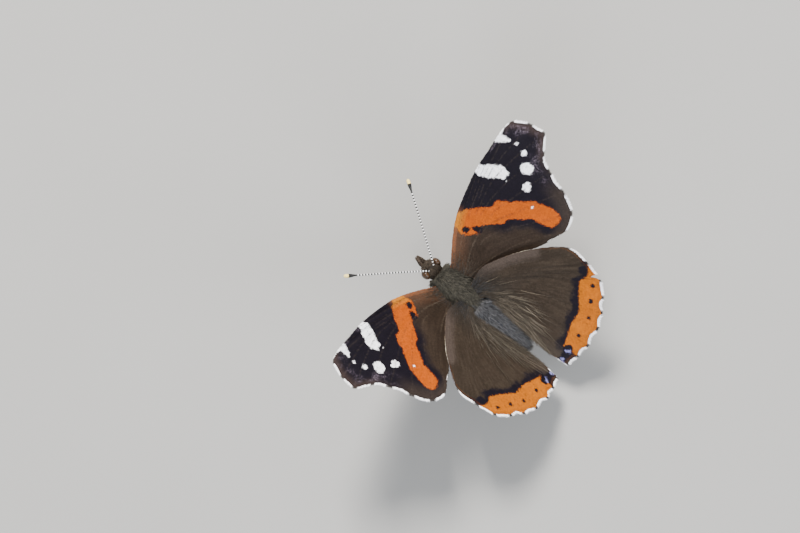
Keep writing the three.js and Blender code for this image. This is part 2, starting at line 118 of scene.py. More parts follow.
HINDWING = {
    "root": ((ROOT_SUNK, 1.5), (ROOT_SUNK, 4.0)),
    "front": ((0.4, 1.2), (3.7, 0.9), (7.0, 2.2), (10.2, 4.0)),
    "veins": (
        (0.0, ((0.4, 1.6), (4.0, 2.0), (8.0, 4.0), (12.5, 7.2))),
        (0.0, ((0.35, 1.95), (4.0, 3.0), (8.0, 5.6), (12.0, 9.3))),
        (0.35, ((0.3, 2.3), (4.0, 3.9), (7.5, 7.0), (11.5, 11.6))),
        (0.38, ((0.3, 2.65), (3.8, 4.8), (7.0, 8.3), (10.4, 13.4))),
        (0.0, ((0.25, 3.0), (3.5, 6.0), (6.4, 9.8), (8.7, 15.2))),
        (0.35, ((0.2, 3.3), (2.9, 6.6), (5.2, 10.2), (6.7, 16.0))),
        (0.25, ((0.2, 3.6), (2.2, 7.0), (3.4, 10.5), (4.0, 16.0))),
        (0.0, ((0.2, 3.95), (1.4, 8.0), (1.8, 12.0), (1.7, 17.0))),
        (0.0, ((0.15, 4.3), (0.7, 8.5), (0.7, 12.0), (0.1, 17.0))),
    ),
    "back": ((0.0, 4.6), (-0.4, 8.5), (-0.6, 12.5), (-1.1, 17.0)),
    "margin": (
        (12.2, 5.4), (14.6, 7.2), (17.0, 9.9), (17.35, 12.0), (17.0, 14.2), (16.5, 16.0),
        (15.7, 17.7), (14.6, 18.9), (13.3, 19.9), (12.1, 20.4), (10.7, 21.4), (9.2, 21.9),
        (7.7, 22.5), (5.8, 22.5), (4.0, 22.95), (2.6, 22.7), (1.2, 22.7), (0.0, 22.5),
        (-1.2, 22.2), (-1.45, 21.2), (-1.4, 20.0),
    ),
    "cell_end": ((7.3, 7.4), (7.6, 8.6), (6.6, 9.8)),
}

# Forewing markings, in the same distances
ORANGE_BAND = (
    (8.74, -7.75), (10.67, -6.83), (12.38, -5.31), (13.77, -3.8), (14.92, -3.98), (16.31, -2.6),
    (16.6, -1.91), (17.46, -1.15), (19.46, 1.06), (19.91, 2.52), (20.19, 3.66), (20.27, 4.92),
    (19.92, 6.03), (19.33, 6.5), (18.44, 6.47), (17.33, 6.05), (16.81, 4.98), (16.63, 3.78),
    (16.52, 2.54), (15.18, 1.21), (14.09, -0.28), (13.42, -0.71), (12.61, -0.72), (11.32, -1.98),
    (10.22, -3.03), (9.5, -3.4), (9.2, -2.82), (8.13, -2.8), (7.48, -3.55), (6.71, -4.15),
    (6.1, -5.02), (6.24, -5.78), (6.73, -7.0),
)
CELL_INK = (
    ((7.15, -5.7), (7.75, -5.4), (8.0, -4.8), (7.85, -4.25), (7.05, -4.35), (6.65, -4.95), (6.65, -5.5)),
    ((8.3, -4.5), (8.9, -4.1), (9.5, -3.4), (9.5, -2.75), (8.6, -2.65), (7.95, -3.3), (7.95, -3.9)),
)
WHITE_BAR = (
    (17.3, -9.9), (18.4, -10.1), (19.2, -9.1), (20.0, -8.25), (20.9, -7.1), (21.2, -5.95), (20.9, -5.1),
    (20.5, -4.75), (20.1, -5.2), (19.39, -4.96), (19.11, -5.53), (18.3, -6.5), (17.5, -7.6), (17.0, -8.6),
)
WHITE_TIP = (
    (23.9, -10.1), (25.0, -10.4), (27.2, -10.4), (26.6, -9.9), (25.6, -9.7), (25.9, -8.9),
    (26.05, -7.9), (25.4, -8.2), (24.6, -9.0), (24.1, -9.5),
)
WHITE_SPOTS = (
    (26.04, -6.9, 0.28), (25.54, -4.93, 0.5), (23.5, -3.07, 1.12), (20.6, -1.16, 0.7), (21.25, -1.3, 0.42),
    (19.25, -4.5, 0.13),
)
ORANGE_DOT = (18.35, 1.42, 0.26)
# What closes the dark outer field, beyond the band's outer edge
BEYOND_BAND = ((19.5, 9.5), (36.0, 14.0), (36.0, -16.0), (7.6, -16.0), (7.6, -8.6))

# Hindwing markings: the border's inner edge, what closes it outside the margin, and its spots
HIND_BAND_INNER = (
    (16.6, 14.2), (15.75, 14.8), (14.3, 15.2), (13.0, 14.75), (11.7, 15.5), (10.05, 16.7), (8.0, 17.9),
    (5.8, 18.0), (4.2, 18.6), (2.7, 18.95), (1.3, 19.4),
)
HIND_BAND_OUTER = ((18.5, 12.6), (19.0, 13.0), (19.0, 24.0), (1.3, 24.5))
HIND_SPOTS = ((15.1, 14.1, 0.85), (13.65, 17.0, 0.42), (11.33, 18.3, 0.4), (8.38, 19.7, 0.36), (4.7, 20.27, 0.4))
ANAL_DARK = ((1.3, 20.3, 0.85), (0.3, 20.65, 0.85), (-0.8, 20.65, 0.85))
ANAL_LILAC = ((1.1, 20.7, 0.3), (0.9, 20.3, 0.24), (-0.75, 20.55, 0.28), (-1.15, 20.85, 0.22))

# The torn place in the right hindwing's margin
TEAR = ((17.2, 17.1), (14.6, 15.6), (16.2, 18.6))

TURN = np.array(Matrix.Rotation(-BODY_PITCH, 3, "X"))


def trunk_origin():
    """Where the trunk's own zero point stands, found from the two eyes."""
    centres = []
    for name, _ in SIDES:
        low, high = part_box("eye_" + name)
        centres.append(np.array((low + high) / 2))
    middle = (centres[0] + centres[1]) / 2
    return middle - TURN @ np.array([0.0, EYE_PLACE[1], EYE_PLACE[2]]) * MM


ORIGIN = trunk_origin()


def to_world(points):
    """Trunk points in millimetres to the frame's metres."""
    return np.asarray(points) @ TURN.T * MM + ORIGIN


def smoothstep(low, high, value):
    """A smooth rise from 0 at low to 1 at high."""
    share = np.clip((np.asarray(value, float) - low) / (high - low), 0.0, 1.0)
    return share * share * (3.0 - 2.0 * share)


def bell(value, middle, width):
    """1 at the middle, falling off on both sides."""
    return np.exp(-(((value - middle) / width) ** 2))


def unit(vectors):
    """The same directions, one long."""
    return vectors / np.maximum(np.linalg.norm(vectors, axis=-1, keepdims=True), 1e-9)


def travelled(points):
    """How far along a line each of its points lies."""
    steps = np.linalg.norm(np.diff(points, axis=0), axis=1)
    return np.concatenate(([0.0], np.cumsum(steps)))


def catmull(points, share):
    """A uniform Catmull-Rom curve through points, at shares from 0 to 1."""
    points = np.asarray(points, float)
    last = len(points) - 1
    place = np.clip(share, 0.0, 1.0) * last
    index = np.minimum(place.astype(int), last - 1)
    part = (place - index)[:, None]
    before = points[np.maximum(index - 1, 0)]
    here = points[index]
    after = points[index + 1]
    beyond = points[np.minimum(index + 2, last)]
    return 0.5 * (
        2 * here
        + (after - before) * part
        + (2 * before - 5 * here + 4 * after - beyond) * part**2
        + (3 * here - before - 3 * after + beyond) * part**3
    )


def even_curve(points, share):
    """The same curve, with shares counted along its length."""
    fine = np.linspace(0.0, 1.0, 240)
    far = travelled(catmull(points, fine))
    return catmull(points, np.interp(share, far / far[-1], fine))


def line_distance(x, y, points):
    """Distance to an open line of points, in millimetres."""
    best = np.full(x.shape, np.inf)
    for (ax, ay), (bx, by) in zip(points[:-1], points[1:]):
        dx, dy = bx - ax, by - ay
        part = np.clip(((x - ax) * dx + (y - ay) * dy) / (dx * dx + dy * dy), 0.0, 1.0)
        best = np.minimum(best, np.hypot(x - ax - part * dx, y - ay - part * dy))
    return best


def polygon_depth(x, y, corners):
    """Distance to a closed outline in millimetres, positive inside."""
    closed = [*corners, corners[0]]
    inside = np.zeros(x.shape, bool)
    for (ax, ay), (bx, by) in zip(closed[:-1], closed[1:]):
        if ay != by:
            crosses = (ay > y) != (by > y)
            inside ^= crosses & (x < (bx - ax) * (y - ay) / (by - ay) + ax)
    edge = line_distance(x, y, closed)
    return np.where(inside, edge, -edge)


def spot_depth(x, y, spots):
    """Depth inside the nearest of several round spots, positive inside."""
    return np.maximum.reduce([radius - np.hypot(x - cx, y - cy) for cx, cy, radius in spots])


def fore_rise(out, back):
    """Camber of the forewing: its hind edge dips under the hindwing and its tip droops."""
    dip = 1 - smoothstep(2, 6, 0.8 + 0.4 * out - back)
    return -FORE_DROOP * dip - MARGIN_DROOP * smoothstep(18, 31, out) ** 2


def hind_rise(out, back):
    """Camber of the hindwing: its front edge rises over the forewing and its margin droops."""
    lift = 1 - smoothstep(2.2, 6.5, back - (0.55 + 0.02 * out + 0.034 * out * out))
    return HIND_RAISE * lift - MARGIN_DROOP * smoothstep(15, 23, back) ** 2


class Wing:
    """One wing as a fine grid of spots, with the lie of its veins and markings at each."""

    # Columns between two lines, closest beside the veins; a torn wing has them all close
    FRACTIONS = np.array([0.0, 0.035, 0.08, 0.15, 0.25, 0.37, 0.5, 0.63, 0.75, 0.85, 0.92, 0.965])
    TORN_FRACTIONS = np.arange(24) / 24
    NO_VEIN = 9.0
    VEIN_WIDTH = 0.11
    VEIN_RISE = 0.07
    HALF_THICKNESS = 0.05
    FRINGE = 0.3
    SCALLOP = 0.2
    PLEAT = 0.11
    # Powers that keep a change of the margin from reaching far in: fit, fringe and bays
    FIT_REACH, FRINGE_REACH, BAY_REACH = 4, 10, 12
    # Corner and width of the flat piece of plan that the bake map covers
    MAP_CORNER = (3.0, 11.0)
    MAP_WIDTH = 36.0

    def __init__(self, plan, rise, sweep, side, tear=None):
        self.plan, self.side, self.sweep = plan, side, sweep * side
        self.rows = settings().wings.rows
        self.shares = np.linspace(0.0, 1.0, self.rows + 1)
        self.draw_grid(tear)
        self.raise_veins()
        self.measure()
        self.height = rise(self.x, self.y) + self.PLEAT * self.sign * self.fold * self.shares
        thin = 1 - 0.5 * smoothstep(0.9, 1.0, self.shares)
        ridge = self.VEIN_RISE * (1 - 0.5 * self.shares) * self.vein_lift
        half = (self.HALF_THICKNESS + ridge) * thin
        self.upper = self.place(self.height + half)
        self.lower = self.place(self.height - half)
        self.middle = self.place(self.height)
        self.normal = TURN @ np.array([-side * math.sin(DIHEDRAL), 0.0, math.cos(DIHEDRAL)])

    def draw_grid(self, tear):
        """Spots along the veins' lines and between them, out to the scalloped margin."""
        plan, shares = self.plan, self.shares
        inner = [plan["front"], *[line for _, line in plan["veins"]], plan["back"]]
        gaps = len(inner) - 1
        root = np.array(plan["root"])
        lines = []
        for i, line in enumerate(inner):
            first = root[0] + (root[1] - root[0]) * i / gaps
            lines.append(even_curve([first, *line, plan["margin"][2 * i]], shares))
        lines = np.array(lines)
        fractions = self.TORN_FRACTIONS if tear else self.FRACTIONS
        self.u = np.concatenate([i + fractions for i in range(gaps)] + [[float(gaps)]])
        self.low = np.minimum(self.u.astype(int), gaps - 1)
        self.part = (self.u - self.low)[:, None]
        self.width = np.linalg.norm(lines[self.low + 1] - lines[self.low], axis=2)
        part = self.part[..., None]
        spots = lines[self.low] * (1 - part) + lines[self.low + 1] * part
        rim = catmull(plan["margin"], self.u / gaps)
        spots = spots + (rim - spots[:, -1])[:, None] * (shares**self.FIT_REACH)[:, None]
        spots = spots - self.outwards(spots) * self.FRINGE * (shares**self.FRINGE_REACH)[:, None]
        bay = np.sin(math.pi * (self.u % 1.0)) ** 2
        bay = self.SCALLOP * bay * smoothstep(1.0, 2.5, self.u) * (1 - smoothstep(gaps - 1.0, gaps - 0.2, self.u))
        spots = spots - self.outwards(spots) * bay[:, None, None] * (shares**self.BAY_REACH)[:, None]
        self.x, self.y = spots[..., 0].copy(), spots[..., 1].copy()
        self.torn = cut_notch(self.x, self.y, shares, tear) if tear else np.zeros(len(self.u), bool)

    @staticmethod
    def outwards(spots):
        """The direction in which each line of spots leaves the margin."""
        return unit(spots[:, -1] - spots[:, -4])[:, None]

    def raise_veins(self):
        """How near each spot is to a vein, how far a vein lifts it, and the folds between."""
        veins, low, part, width = self.plan["veins"], self.low, self.part, self.width
        starts = np.array([0.0, *[start for start, _ in veins], 0.0])
        strong = np.array([0.0, *[1.0] * len(veins), 0.0])
        begins = np.array([starts[low], starts[low + 1]])[..., None]
        there = np.where(begins > 0, smoothstep(-0.05, 0.05, self.shares - begins + 0.05), 1.0)
        there = there * np.array([strong[low], strong[low + 1]])[..., None]
        away = np.array([part * width, (1 - part) * width])
        cell = line_distance(self.x, self.y, self.plan["cell_end"])
        gap = np.where(there > 0.5, away, self.NO_VEIN).min(axis=0)
        self.vein_gap = np.minimum(gap, cell)
        lift = (there * bell(away, 0.0, self.VEIN_WIDTH)).max(axis=0)
        self.vein_lift = np.maximum(lift, bell(cell, 0.0, self.VEIN_WIDTH))
        self.fold = np.sin(math.pi * part) ** 2 * np.minimum(width, 1.5)
        self.sign = np.where(low % 2 == 0, 1.0, -1.0)[:, None]

    def measure(self):
        """Distances along the wing from root, margin, front edge and back edge."""
        root, margin = self.plan["root"], self.plan["margin"]
        reach = np.hypot(np.diff(self.x, axis=1), np.diff(self.y, axis=1))
        self.from_root = np.concatenate([np.zeros((len(self.u), 1)), np.cumsum(reach, axis=1)], axis=1)
        self.to_rim = self.from_root[:, -1:] - self.from_root
        self.from_front = line_distance(self.x, self.y, [root[0], *self.plan["front"], margin[0]])
        self.from_back = line_distance(self.x, self.y, [root[1], *self.plan["back"], margin[-1]])

    def place(self, high):
        """The spots in the frame, at a height over the wing's plane."""
        c, s = math.cos(self.sweep), math.sin(self.sweep)
        span, rear = self.x * c - self.y * s, self.x * s + self.y * c
        tilt_c, tilt_s = math.cos(DIHEDRAL), math.sin(DIHEDRAL)
        out = self.side * (HINGE_OUT + span * tilt_c - high * tilt_s)
        return to_world(np.stack([out, rear, HINGE_UP + span * tilt_s + high * tilt_c], axis=-1))

    def sample(self, field, column, row):
        """A field of the grid at fractional columns and rows."""
        c = np.clip(column, 0, len(self.u) - 1.001)
        r = np.clip(row, 0, self.rows - 0.001)
        c0, r0 = c.astype(int), r.astype(int)
        cf, rf = c - c0, r - r0
        if field.ndim == 3:
            cf, rf = cf[:, None], rf[:, None]
        top = field[c0, r0] * (1 - cf) + field[c0 + 1, r0] * cf
        bottom = field[c0, r0 + 1] * (1 - cf) + field[c0 + 1, r0 + 1] * cf
        return top * (1 - rf) + bottom * rf

    def run(self, column, row):
        """Direction from the root to the margin, in the middle of the sheet."""
        ahead = self.sample(self.middle, column, np.minimum(row + 3, self.rows - 1))
        return unit(ahead - self.sample(self.middle, column, row))

    def unwrap(self, column, row):
        """Where a spot of the plan lies on the bake map."""
        spots = [self.sample(self.x, column, row), self.sample(self.y, column, row)]
        return (np.stack(spots, axis=1) + self.MAP_CORNER) / self.MAP_WIDTH


def cut_notch(x, y, shares, corners):
    """Draws each line of a grid back to where it meets a torn notch, and tells which those are."""
    inside = polygon_depth(x, y, corners) > 0
    torn = inside.any(axis=1)
    for column in np.nonzero(torn)[0]:
        limit = shares[np.argmax(inside[column])]
        x[column] = np.interp(shares * limit, shares, x[column])
        y[column] = np.interp(shares * limit, shares, y[column])
    return torn


def new_object(name, mesh, material):
    """Links a finished mesh to the scene and lets it ride on the body."""
    piece = bpy.data.objects.new(name, mesh)
    bpy.context.scene.collection.objects.link(piece)
    mesh.materials.append(material)
    mesh.polygons.foreach_set("use_smooth", np.ones(len(mesh.polygons), bool))
    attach(piece, BODY)
    return piece


def mesh_from(name, shape):
    """A mesh of a finished bmesh, which is freed."""
    mesh = bpy.data.meshes.new(name)
    shape.to_mesh(mesh)
    shape.free()
    return mesh


def unit_ball(name, sides, rings):
    """A ball of radius 1 as a mesh, and its corners."""
    shape = bmesh.new()
    bmesh.ops.create_uvsphere(shape, u_segments=sides, v_segments=rings, radius=1.0)
    mesh = mesh_from(name, shape)
    return mesh, get_places(mesh).astype(float)


def face_outwards(mesh):
    """Turns the faces of a closed mesh outwards."""
    shape = bmesh.new()
    shape.from_mesh(mesh)
    bmesh.ops.recalc_face_normals(shape, faces=shape.faces[:])
    shape.to_mesh(mesh)
    shape.free()


def add_fields(mesh, fields, repeat=1):
    """Keeps numbers for each vertex, for a material to read."""
    for name, values in fields.items():
        layer = mesh.attributes.new(name, "FLOAT", "POINT")
        layer.data.foreach_set("value", np.repeat(np.asarray(values, np.float32), repeat).ravel())


def set_places(mesh, places):
    """Moves a mesh's corners."""
    mesh.vertices.foreach_set("co", np.ascontiguousarray(places, np.float32).ravel())
    mesh.update()


def get_places(mesh):
    """A mesh's corners."""
    places = np.empty(len(mesh.vertices) * 3, np.float32)
    mesh.vertices.foreach_get("co", places)
    return places.reshape(-1, 3)


def drawn_out(name, path, radii, sides):
    """A ball drawn out along a path: a closed round rod, and how far along it each corner lies."""
    rings = len(path)
    mesh, ball = unit_ball(name, sides, rings + 1)
    tilt = np.arccos(np.clip(ball[:, 2], -1, 1)) / math.pi * (rings + 1)
    ring = np.clip(np.rint(tilt).astype(int) - 1, 0, rings - 1)
    pole = np.hypot(ball[:, 0], ball[:, 1]) < 1e-4
    angle = np.arctan2(ball[:, 1], ball[:, 0])
    ahead = unit(np.gradient(path, axis=0))
    side = np.cross(ahead[0], [0.0, 0.0, 1.0])
    if np.linalg.norm(side) < 0.1:
        side = np.cross(ahead[0], [0.0, 1.0, 0.0])
    across = np.empty_like(path)
    for i in range(rings):
        side = unit(side - ahead[i] * np.dot(side, ahead[i]))
        across[i] = side
    above = np.cross(across, ahead)
    reach = np.where(pole, 0.0, radii[ring])[:, None]
    turn = np.cos(angle)[:, None] * across[ring] - np.sin(angle)[:, None] * above[ring]
    along = travelled(path)
    return mesh, path[ring] + reach * turn, along[ring], along[-1]


def add_patches(mesh, corner_uv):
    """The map that gives each tuft its own small patch."""
    layer = mesh.uv_layers.new(name="OFBake")
    loops = np.empty(len(mesh.loops), np.int32)
    mesh.loops.foreach_get("vertex_index", loops)
    layer.data.foreach_set("uv", np.ascontiguousarray(corner_uv[loops], np.float32).ravel())


# A tuft: corners of its rings, their heights and girths, its faces, and its patch on the map
TUFT_RING = np.array([[math.cos(a), math.sin(a)] for a in (0.0, 2.0944, 4.1888)])
TUFT_RINGS = ((0.0, 1.0), (0.5, 0.75))
TUFT_FACES = ([0, 1, 4, 3], [1, 2, 5, 4], [2, 0, 3, 5], [3, 4, 6], [4, 5, 6], [5, 3, 6])
TUFT_TIPS = [0.0, 0.0, 0.0, 0.5, 0.5, 0.5, 1.0]
PATCH = 0.003


def tufts(name, roots, lie, normals, lengths, widths, unwrap, fields, material, bend=0.25):
    """Tapered three-sided hairs that lie one way, bent towards the skin at their tips."""
    lie = lie / np.linalg.norm(lie, axis=1, keepdims=True)
    across = np.cross(normals, lie)
    across /= np.linalg.norm(across, axis=1, keepdims=True)
    above = np.cross(lie, across)
    corners = []
    patch = []
    for share, thick in TUFT_RINGS:
        middle = roots + lie * (lengths * share)[:, None]
        middle = middle + normals * (lengths * bend * share * (1 - share))[:, None]
        for cx, cy in TUFT_RING:
            spread = (widths * thick)[:, None]
            corners.append(middle + across * spread * cx + above * spread * cy)
            patch.append((cx * thick * 0.5, share - 0.5))
    corners.append(roots + lie * lengths[:, None])
    patch.append((0.0, 0.5))
    base = np.arange(len(roots))[:, None] * len(patch)
    faces = [face for shape in TUFT_FACES for face in (base + shape).tolist()]
    mesh = bpy.data.meshes.new(name)
    mesh.from_pydata(np.stack(corners, axis=1).reshape(-1, 3).tolist(), [], faces)
    add_patches(mesh, (unwrap[:, None] + np.array(patch) * PATCH).reshape(-1, 2))
    add_fields(mesh, fields, repeat=len(patch))
    add_fields(mesh, {"tip": np.tile(TUFT_TIPS, len(roots))})
    return new_object(name, mesh, material)


class Nodes:
    """Shader nodes of one tree, made with short calls."""

    def __init__(self, tree):
        self.tree = tree
        self.fields = {}

    def node(self, kind, **choices):
        """A new node with its choices set."""
        node = self.tree.nodes.new("ShaderNode" + kind)
        for key, value in choices.items():
            setattr(node, key, value)
        return node

    def field(self, name):
        """The numbers that a mesh keeps under a name."""
        if name not in self.fields:
            self.fields[name] = self.node("Attribute", attribute_name=name).outputs["Fac"]
        return self.fields[name]

    def plug(self, value, socket):
        """Links an output or a field's name to a socket, or sets a number or a colour on it."""
        if isinstance(value, str):
            value = self.field(value)
        if isinstance(value, bpy.types.NodeSocket):
            self.tree.links.new(value, socket)
        else:
            socket.default_value = (*value, 1.0) if socket.type == "RGBA" else value

    def number(self, operation, *values):
        """Arithmetic on numbers."""
        node = self.node("Math", operation=operation)
        for value, socket in zip(values, node.inputs):
            self.plug(value, socket)
        return node.outputs[0]

    def product(self, first, *others):
        """Where several masks meet."""
        for other in others:
            first = self.number("MULTIPLY", first, other)
        return first

    def outside(self, value):
        """A mask turned round."""
        return self.number("SUBTRACT", 1.0, value)

    def mask(self, value, low, high, bottom=0.0, top=1.0):
        """A smooth change from bottom at low to top at high."""
        node = self.node("MapRange", interpolation_type="SMOOTHSTEP")
        names = ("Value", "From Min", "From Max", "To Min", "To Max")
        for name, number in zip(names, (value, low, high, bottom, top)):
            self.plug(number, node.inputs[name])
        return node.outputs["Result"]

    def fade(self, value, low, high, top=1.0):
        """A smooth fall from top at low to nothing at high."""
        return self.mask(value, low, high, top, 0.0)

    def mix(self, share, first, second):
        """A blend of two colours."""
        node = self.node("Mix", data_type="RGBA")
        self.plug(share, node.inputs[0])
        self.plug(first, node.inputs[6])
        self.plug(second, node.inputs[7])
        return node.outputs[2]

    def over(self, below, mask, above, amount=1.0):
        """Lays a colour over another where a mask says."""
        return self.mix(self.product(mask, amount) if amount < 1.0 else mask, below, above)

    def place(self):
        """Places on the object."""
        return self.node("TexCoord").outputs["Object"]

    def noise(self, scale, detail=2.0, rough=0.5, place=None):
        """Cloudy noise between 0 and 1."""
        node = self.node("TexNoise")
        self.plug(place or self.place(), node.inputs["Vector"])
        for name, value in (("Scale", scale), ("Detail", detail), ("Roughness", rough)):
            self.plug(value, node.inputs[name])
        return node.outputs["Fac"]


class Paint(Nodes):
    """A material and its nodes."""

    def __init__(self, name, roughness=0.6, specular=0.3):
        self.material = bpy.data.materials.new(name)
        self.material.use_nodes = True
        super().__init__(self.material.node_tree)
        self.shader = self.tree.nodes["Principled BSDF"]
        self.shader.inputs["Roughness"].default_value = roughness
        self.shader.inputs["Specular IOR Level"].default_value = specular

    def bump(self, height, distance, strength):
        """Fine relief."""
        node = self.node("Bump")
        node.inputs["Strength"].default_value = strength
        node.inputs["Distance"].default_value = distance
        self.plug(height, node.inputs["Height"])
        self.plug(node.outputs["Normal"], self.shader.inputs["Normal"])

    def powder(self, shade, scale, amount, relief=0.0, strength=0.5):
        """Gives a colour a powdery grain, and the surface the relief of it."""
        grain = self.node("Group", node_tree=bpy.data.node_groups["powder_grain"])
        for name, value in (("Color", shade), ("Scale", scale), ("Amount", amount)):
            self.plug(value, grain.inputs[name])
        if relief:
            self.bump(grain.outputs["Height"], relief, strength)
        return grain.outputs["Color"]

    def finish(self, shade):
        """The material, with its colour plugged in."""
        self.plug(shade, self.shader.inputs["Base Color"])
        return self.material


def make_grain_group():
    """Fine powdery grain that lightens and darkens a colour and roughens the surface."""
    group = bpy.data.node_groups.new("powder_grain", "ShaderNodeTree")
    for name, way, kind in (
        ("Color", "INPUT", "NodeSocketColor"), ("Scale", "INPUT", "NodeSocketFloat"),
        ("Amount", "INPUT", "NodeSocketFloat"), ("Color", "OUTPUT", "NodeSocketColor"),
        ("Height", "OUTPUT", "NodeSocketFloat"),
    ):
        group.interface.new_socket(name, in_out=way, socket_type=kind)
    start = group.nodes.new("NodeGroupInput").outputs
    end = group.nodes.new("NodeGroupOutput").inputs
    nodes = Nodes(group)
    grain = nodes.noise(start["Scale"], 3.0)
    lift = nodes.number("SUBTRACT", nodes.number("ADD", grain, "tone"), 1.0)
    shade = nodes.node("VectorMath", operation="SCALE")
    nodes.plug(start["Color"], shade.inputs[0])
    nodes.plug(nodes.number("MULTIPLY_ADD", lift, start["Amount"], 1.0), shade.inputs["Scale"])
    nodes.plug(shade.outputs["Vector"], end["Color"])
    nodes.plug(grain, end["Height"])


class WingSettings(bpy.types.PropertyGroup):
    """Colours and fineness of the wings."""

    dark: FloatVectorProperty(
        name="Dark", description="Ground colour of the outer wing", subtype="COLOR",
        default=(0.0036, 0.0024, 0.0058), min=0, max=1)
    brown: FloatVectorProperty(
        name="Brown", description="Colour of the hindwing's veins", subtype="COLOR",
        default=(0.017, 0.0115, 0.0075), min=0, max=1)
    orange: FloatVectorProperty(
        name="Orange", description="Colour of the forewing's band", subtype="COLOR",
        default=(0.325, 0.052, 0.0), min=0, max=1)
    white: FloatVectorProperty(
        name="White", description="Colour of the spots near the tip", subtype="COLOR",
        default=(0.93, 0.93, 0.97), min=0, max=1)
    rows: IntProperty(
        name="Rows", description="Rows of the wing's grid from root to margin", default=130, min=20, max=300)
    scale_size: FloatProperty(
        name="Scale size", description="Length of one wing scale in millimetres", default=0.42, min=0.1, max=1.0)


class CoatSettings(bpy.types.PropertyGroup):
    """Colour and amount of the hair."""

    grey: FloatVectorProperty(
        name="Grey", description="Colour of the hair on the thorax", subtype="COLOR",
        default=(0.062, 0.057, 0.045), min=0, max=1)
    length: FloatProperty(
        name="Hair length", description="Length of the longest body hair in millimetres", default=1.3, min=0.2, max=3)
    count: IntProperty(
        name="Hairs", description="Hairs on the body", default=20000, min=100, max=30000)


class StageSettings(bpy.types.PropertyGroup):
    """Floor and light."""

    floor: FloatVectorProperty(
        name="Floor", description="Colour of the floor", subtype="COLOR", default=(0.27, 0.268, 0.262), min=0, max=1)
    light: FloatProperty(
        name="Key light", description="Power of the main light in watts", default=13.0, min=0, max=200, unit="POWER")


class AdmiralSettings(bpy.types.PropertyGroup):
    """All that a user may change."""

    wings: PointerProperty(type=WingSettings, name="Wings", description="Colours and fineness of the wings")
    coat: PointerProperty(type=CoatSettings, name="Coat", description="Colour and amount of the hair")
    stage: PointerProperty(type=StageSettings, name="Stage", description="Floor and light")


def settings():
    """The values that a user may change."""
    return bpy.context.scene.red_admiral


WINGS = {}


def make_wings():
    """The four wings' grids, with the fields that their markings follow."""
    for name, side in SIDES:
        fore = Wing(FOREWING, fore_rise, FORE_SWEEP, side)
        hind = Wing(HINDWING, hind_rise, 0.0, side, tear=None if side > 0 else TEAR)
        fore.fields = common_fields(fore) | fore_fields(fore.x, fore.y)
        hind.fields = common_fields(hind) | hind_fields(hind.x, hind.y)
        WINGS["forewing_" + name] = fore
        WINGS["hindwing_" + name] = hind


def common_fields(wing):
    """Distances in millimetres on any wing, and the lane between its lines."""
    return {
        "lane": np.broadcast_to(wing.u[:, None], wing.x.shape),
        "vein": wing.vein_lift,
        "vein_gap": wing.vein_gap,
        "root": wing.from_root,
        "rim": wing.to_rim,
        "front": wing.from_front,
        "back": wing.from_back,
    }


def fore_fields(x, y):
    """Depths inside the forewing's markings, in millimetres."""
    white = np.maximum(polygon_depth(x, y, WHITE_BAR), polygon_depth(x, y, WHITE_TIP))
    return {
        "band": polygon_depth(x, y, ORANGE_BAND),
        "white": np.maximum(white, spot_depth(x, y, WHITE_SPOTS)),
        "beyond": polygon_depth(x, y, [*ORANGE_BAND[:13], *BEYOND_BAND]),
        "dot": spot_depth(x, y, (ORANGE_DOT,)),
        "ink": np.maximum(polygon_depth(x, y, CELL_INK[0]), polygon_depth(x, y, CELL_INK[1])),
    }


def hind_fields(x, y):
    """Depths inside the hindwing's markings, in millimetres."""
    edge = catmull(HIND_BAND_INNER, np.linspace(0, 1, 60))[::-1]
    return {
        "band": polygon_depth(x, y, [*edge, *HIND_BAND_OUTER]),
        "spots": spot_depth(x, y, HIND_SPOTS),
        "anal": spot_depth(x, y, ANAL_DARK),
        "lilac": spot_depth(x, y, ANAL_LILAC),
    }


# Fixed colours of the wings: brown grounds from dark to light, then what lies over them
HIND_BROWNS = ((0.015, 0.0105, 0.0070), (0.024, 0.0165, 0.0115), (0.036, 0.0265, 0.0185))
FORE_BROWNS = ((0.014, 0.0090, 0.0062), (0.024, 0.0155, 0.0105), (0.034, 0.023, 0.016))
HIND_ROOT = (0.013, 0.011, 0.0095)
# Pale front edge of the hindwing: partly its own paler costal colour, partly a painted highlight of the raised edge
# lit over the forewing
HIND_FRONT_PALE_AND_HIGHLIGHT = (0.066, 0.050, 0.043)
HIND_BACK = (0.048, 0.037, 0.029)
HIND_ORANGE = ((0.315, 0.074, 0.0), (0.34, 0.095, 0.0))
HIND_ORANGE_VEIN = (0.13, 0.03, 0.0)
HIND_RIM_LINE = (0.10, 0.03, 0.004)
LILAC = (0.17, 0.17, 0.38)
CELL_RUST = (0.075, 0.036, 0.020)
FRONT_RUST = (0.15, 0.055, 0.024)
TIP_DUST = (0.17, 0.135, 0.175)
TIP_EARTH = (0.070, 0.045, 0.035)
CORNER_BROWN = (0.034, 0.024, 0.018)
BAND_GLOW = (0.34, 0.074, 0.0)
BAND_YELLOW = (0.38, 0.14, 0.010)
BAND_VEIN = (0.13, 0.022, 0.0)
FORE_VEIN = (0.060, 0.046, 0.034)
MARBLE = ((0.02, 0.014, 0.012), (0.13, 0.09, 0.06), (0.34, 0.30, 0.25))
UNDER_PATCH = (0.42, 0.38, 0.30)
UNDER_RIM = (0.10, 0.10, 0.14)
UNDER_EYE = ((0.11, 0.10, 0.08), (0.02, 0.03, 0.05))
UNDER_DARK = (0.012, 0.009, 0.012)
UNDER_BLUE = (0.03, 0.075, 0.17)
UNDER_BAND = (0.50, 0.06, 0.012)
UNDER_WHITE = (0.62, 0.60, 0.58)
UNDER_VEIN = (0.17, 0.13, 0.09)


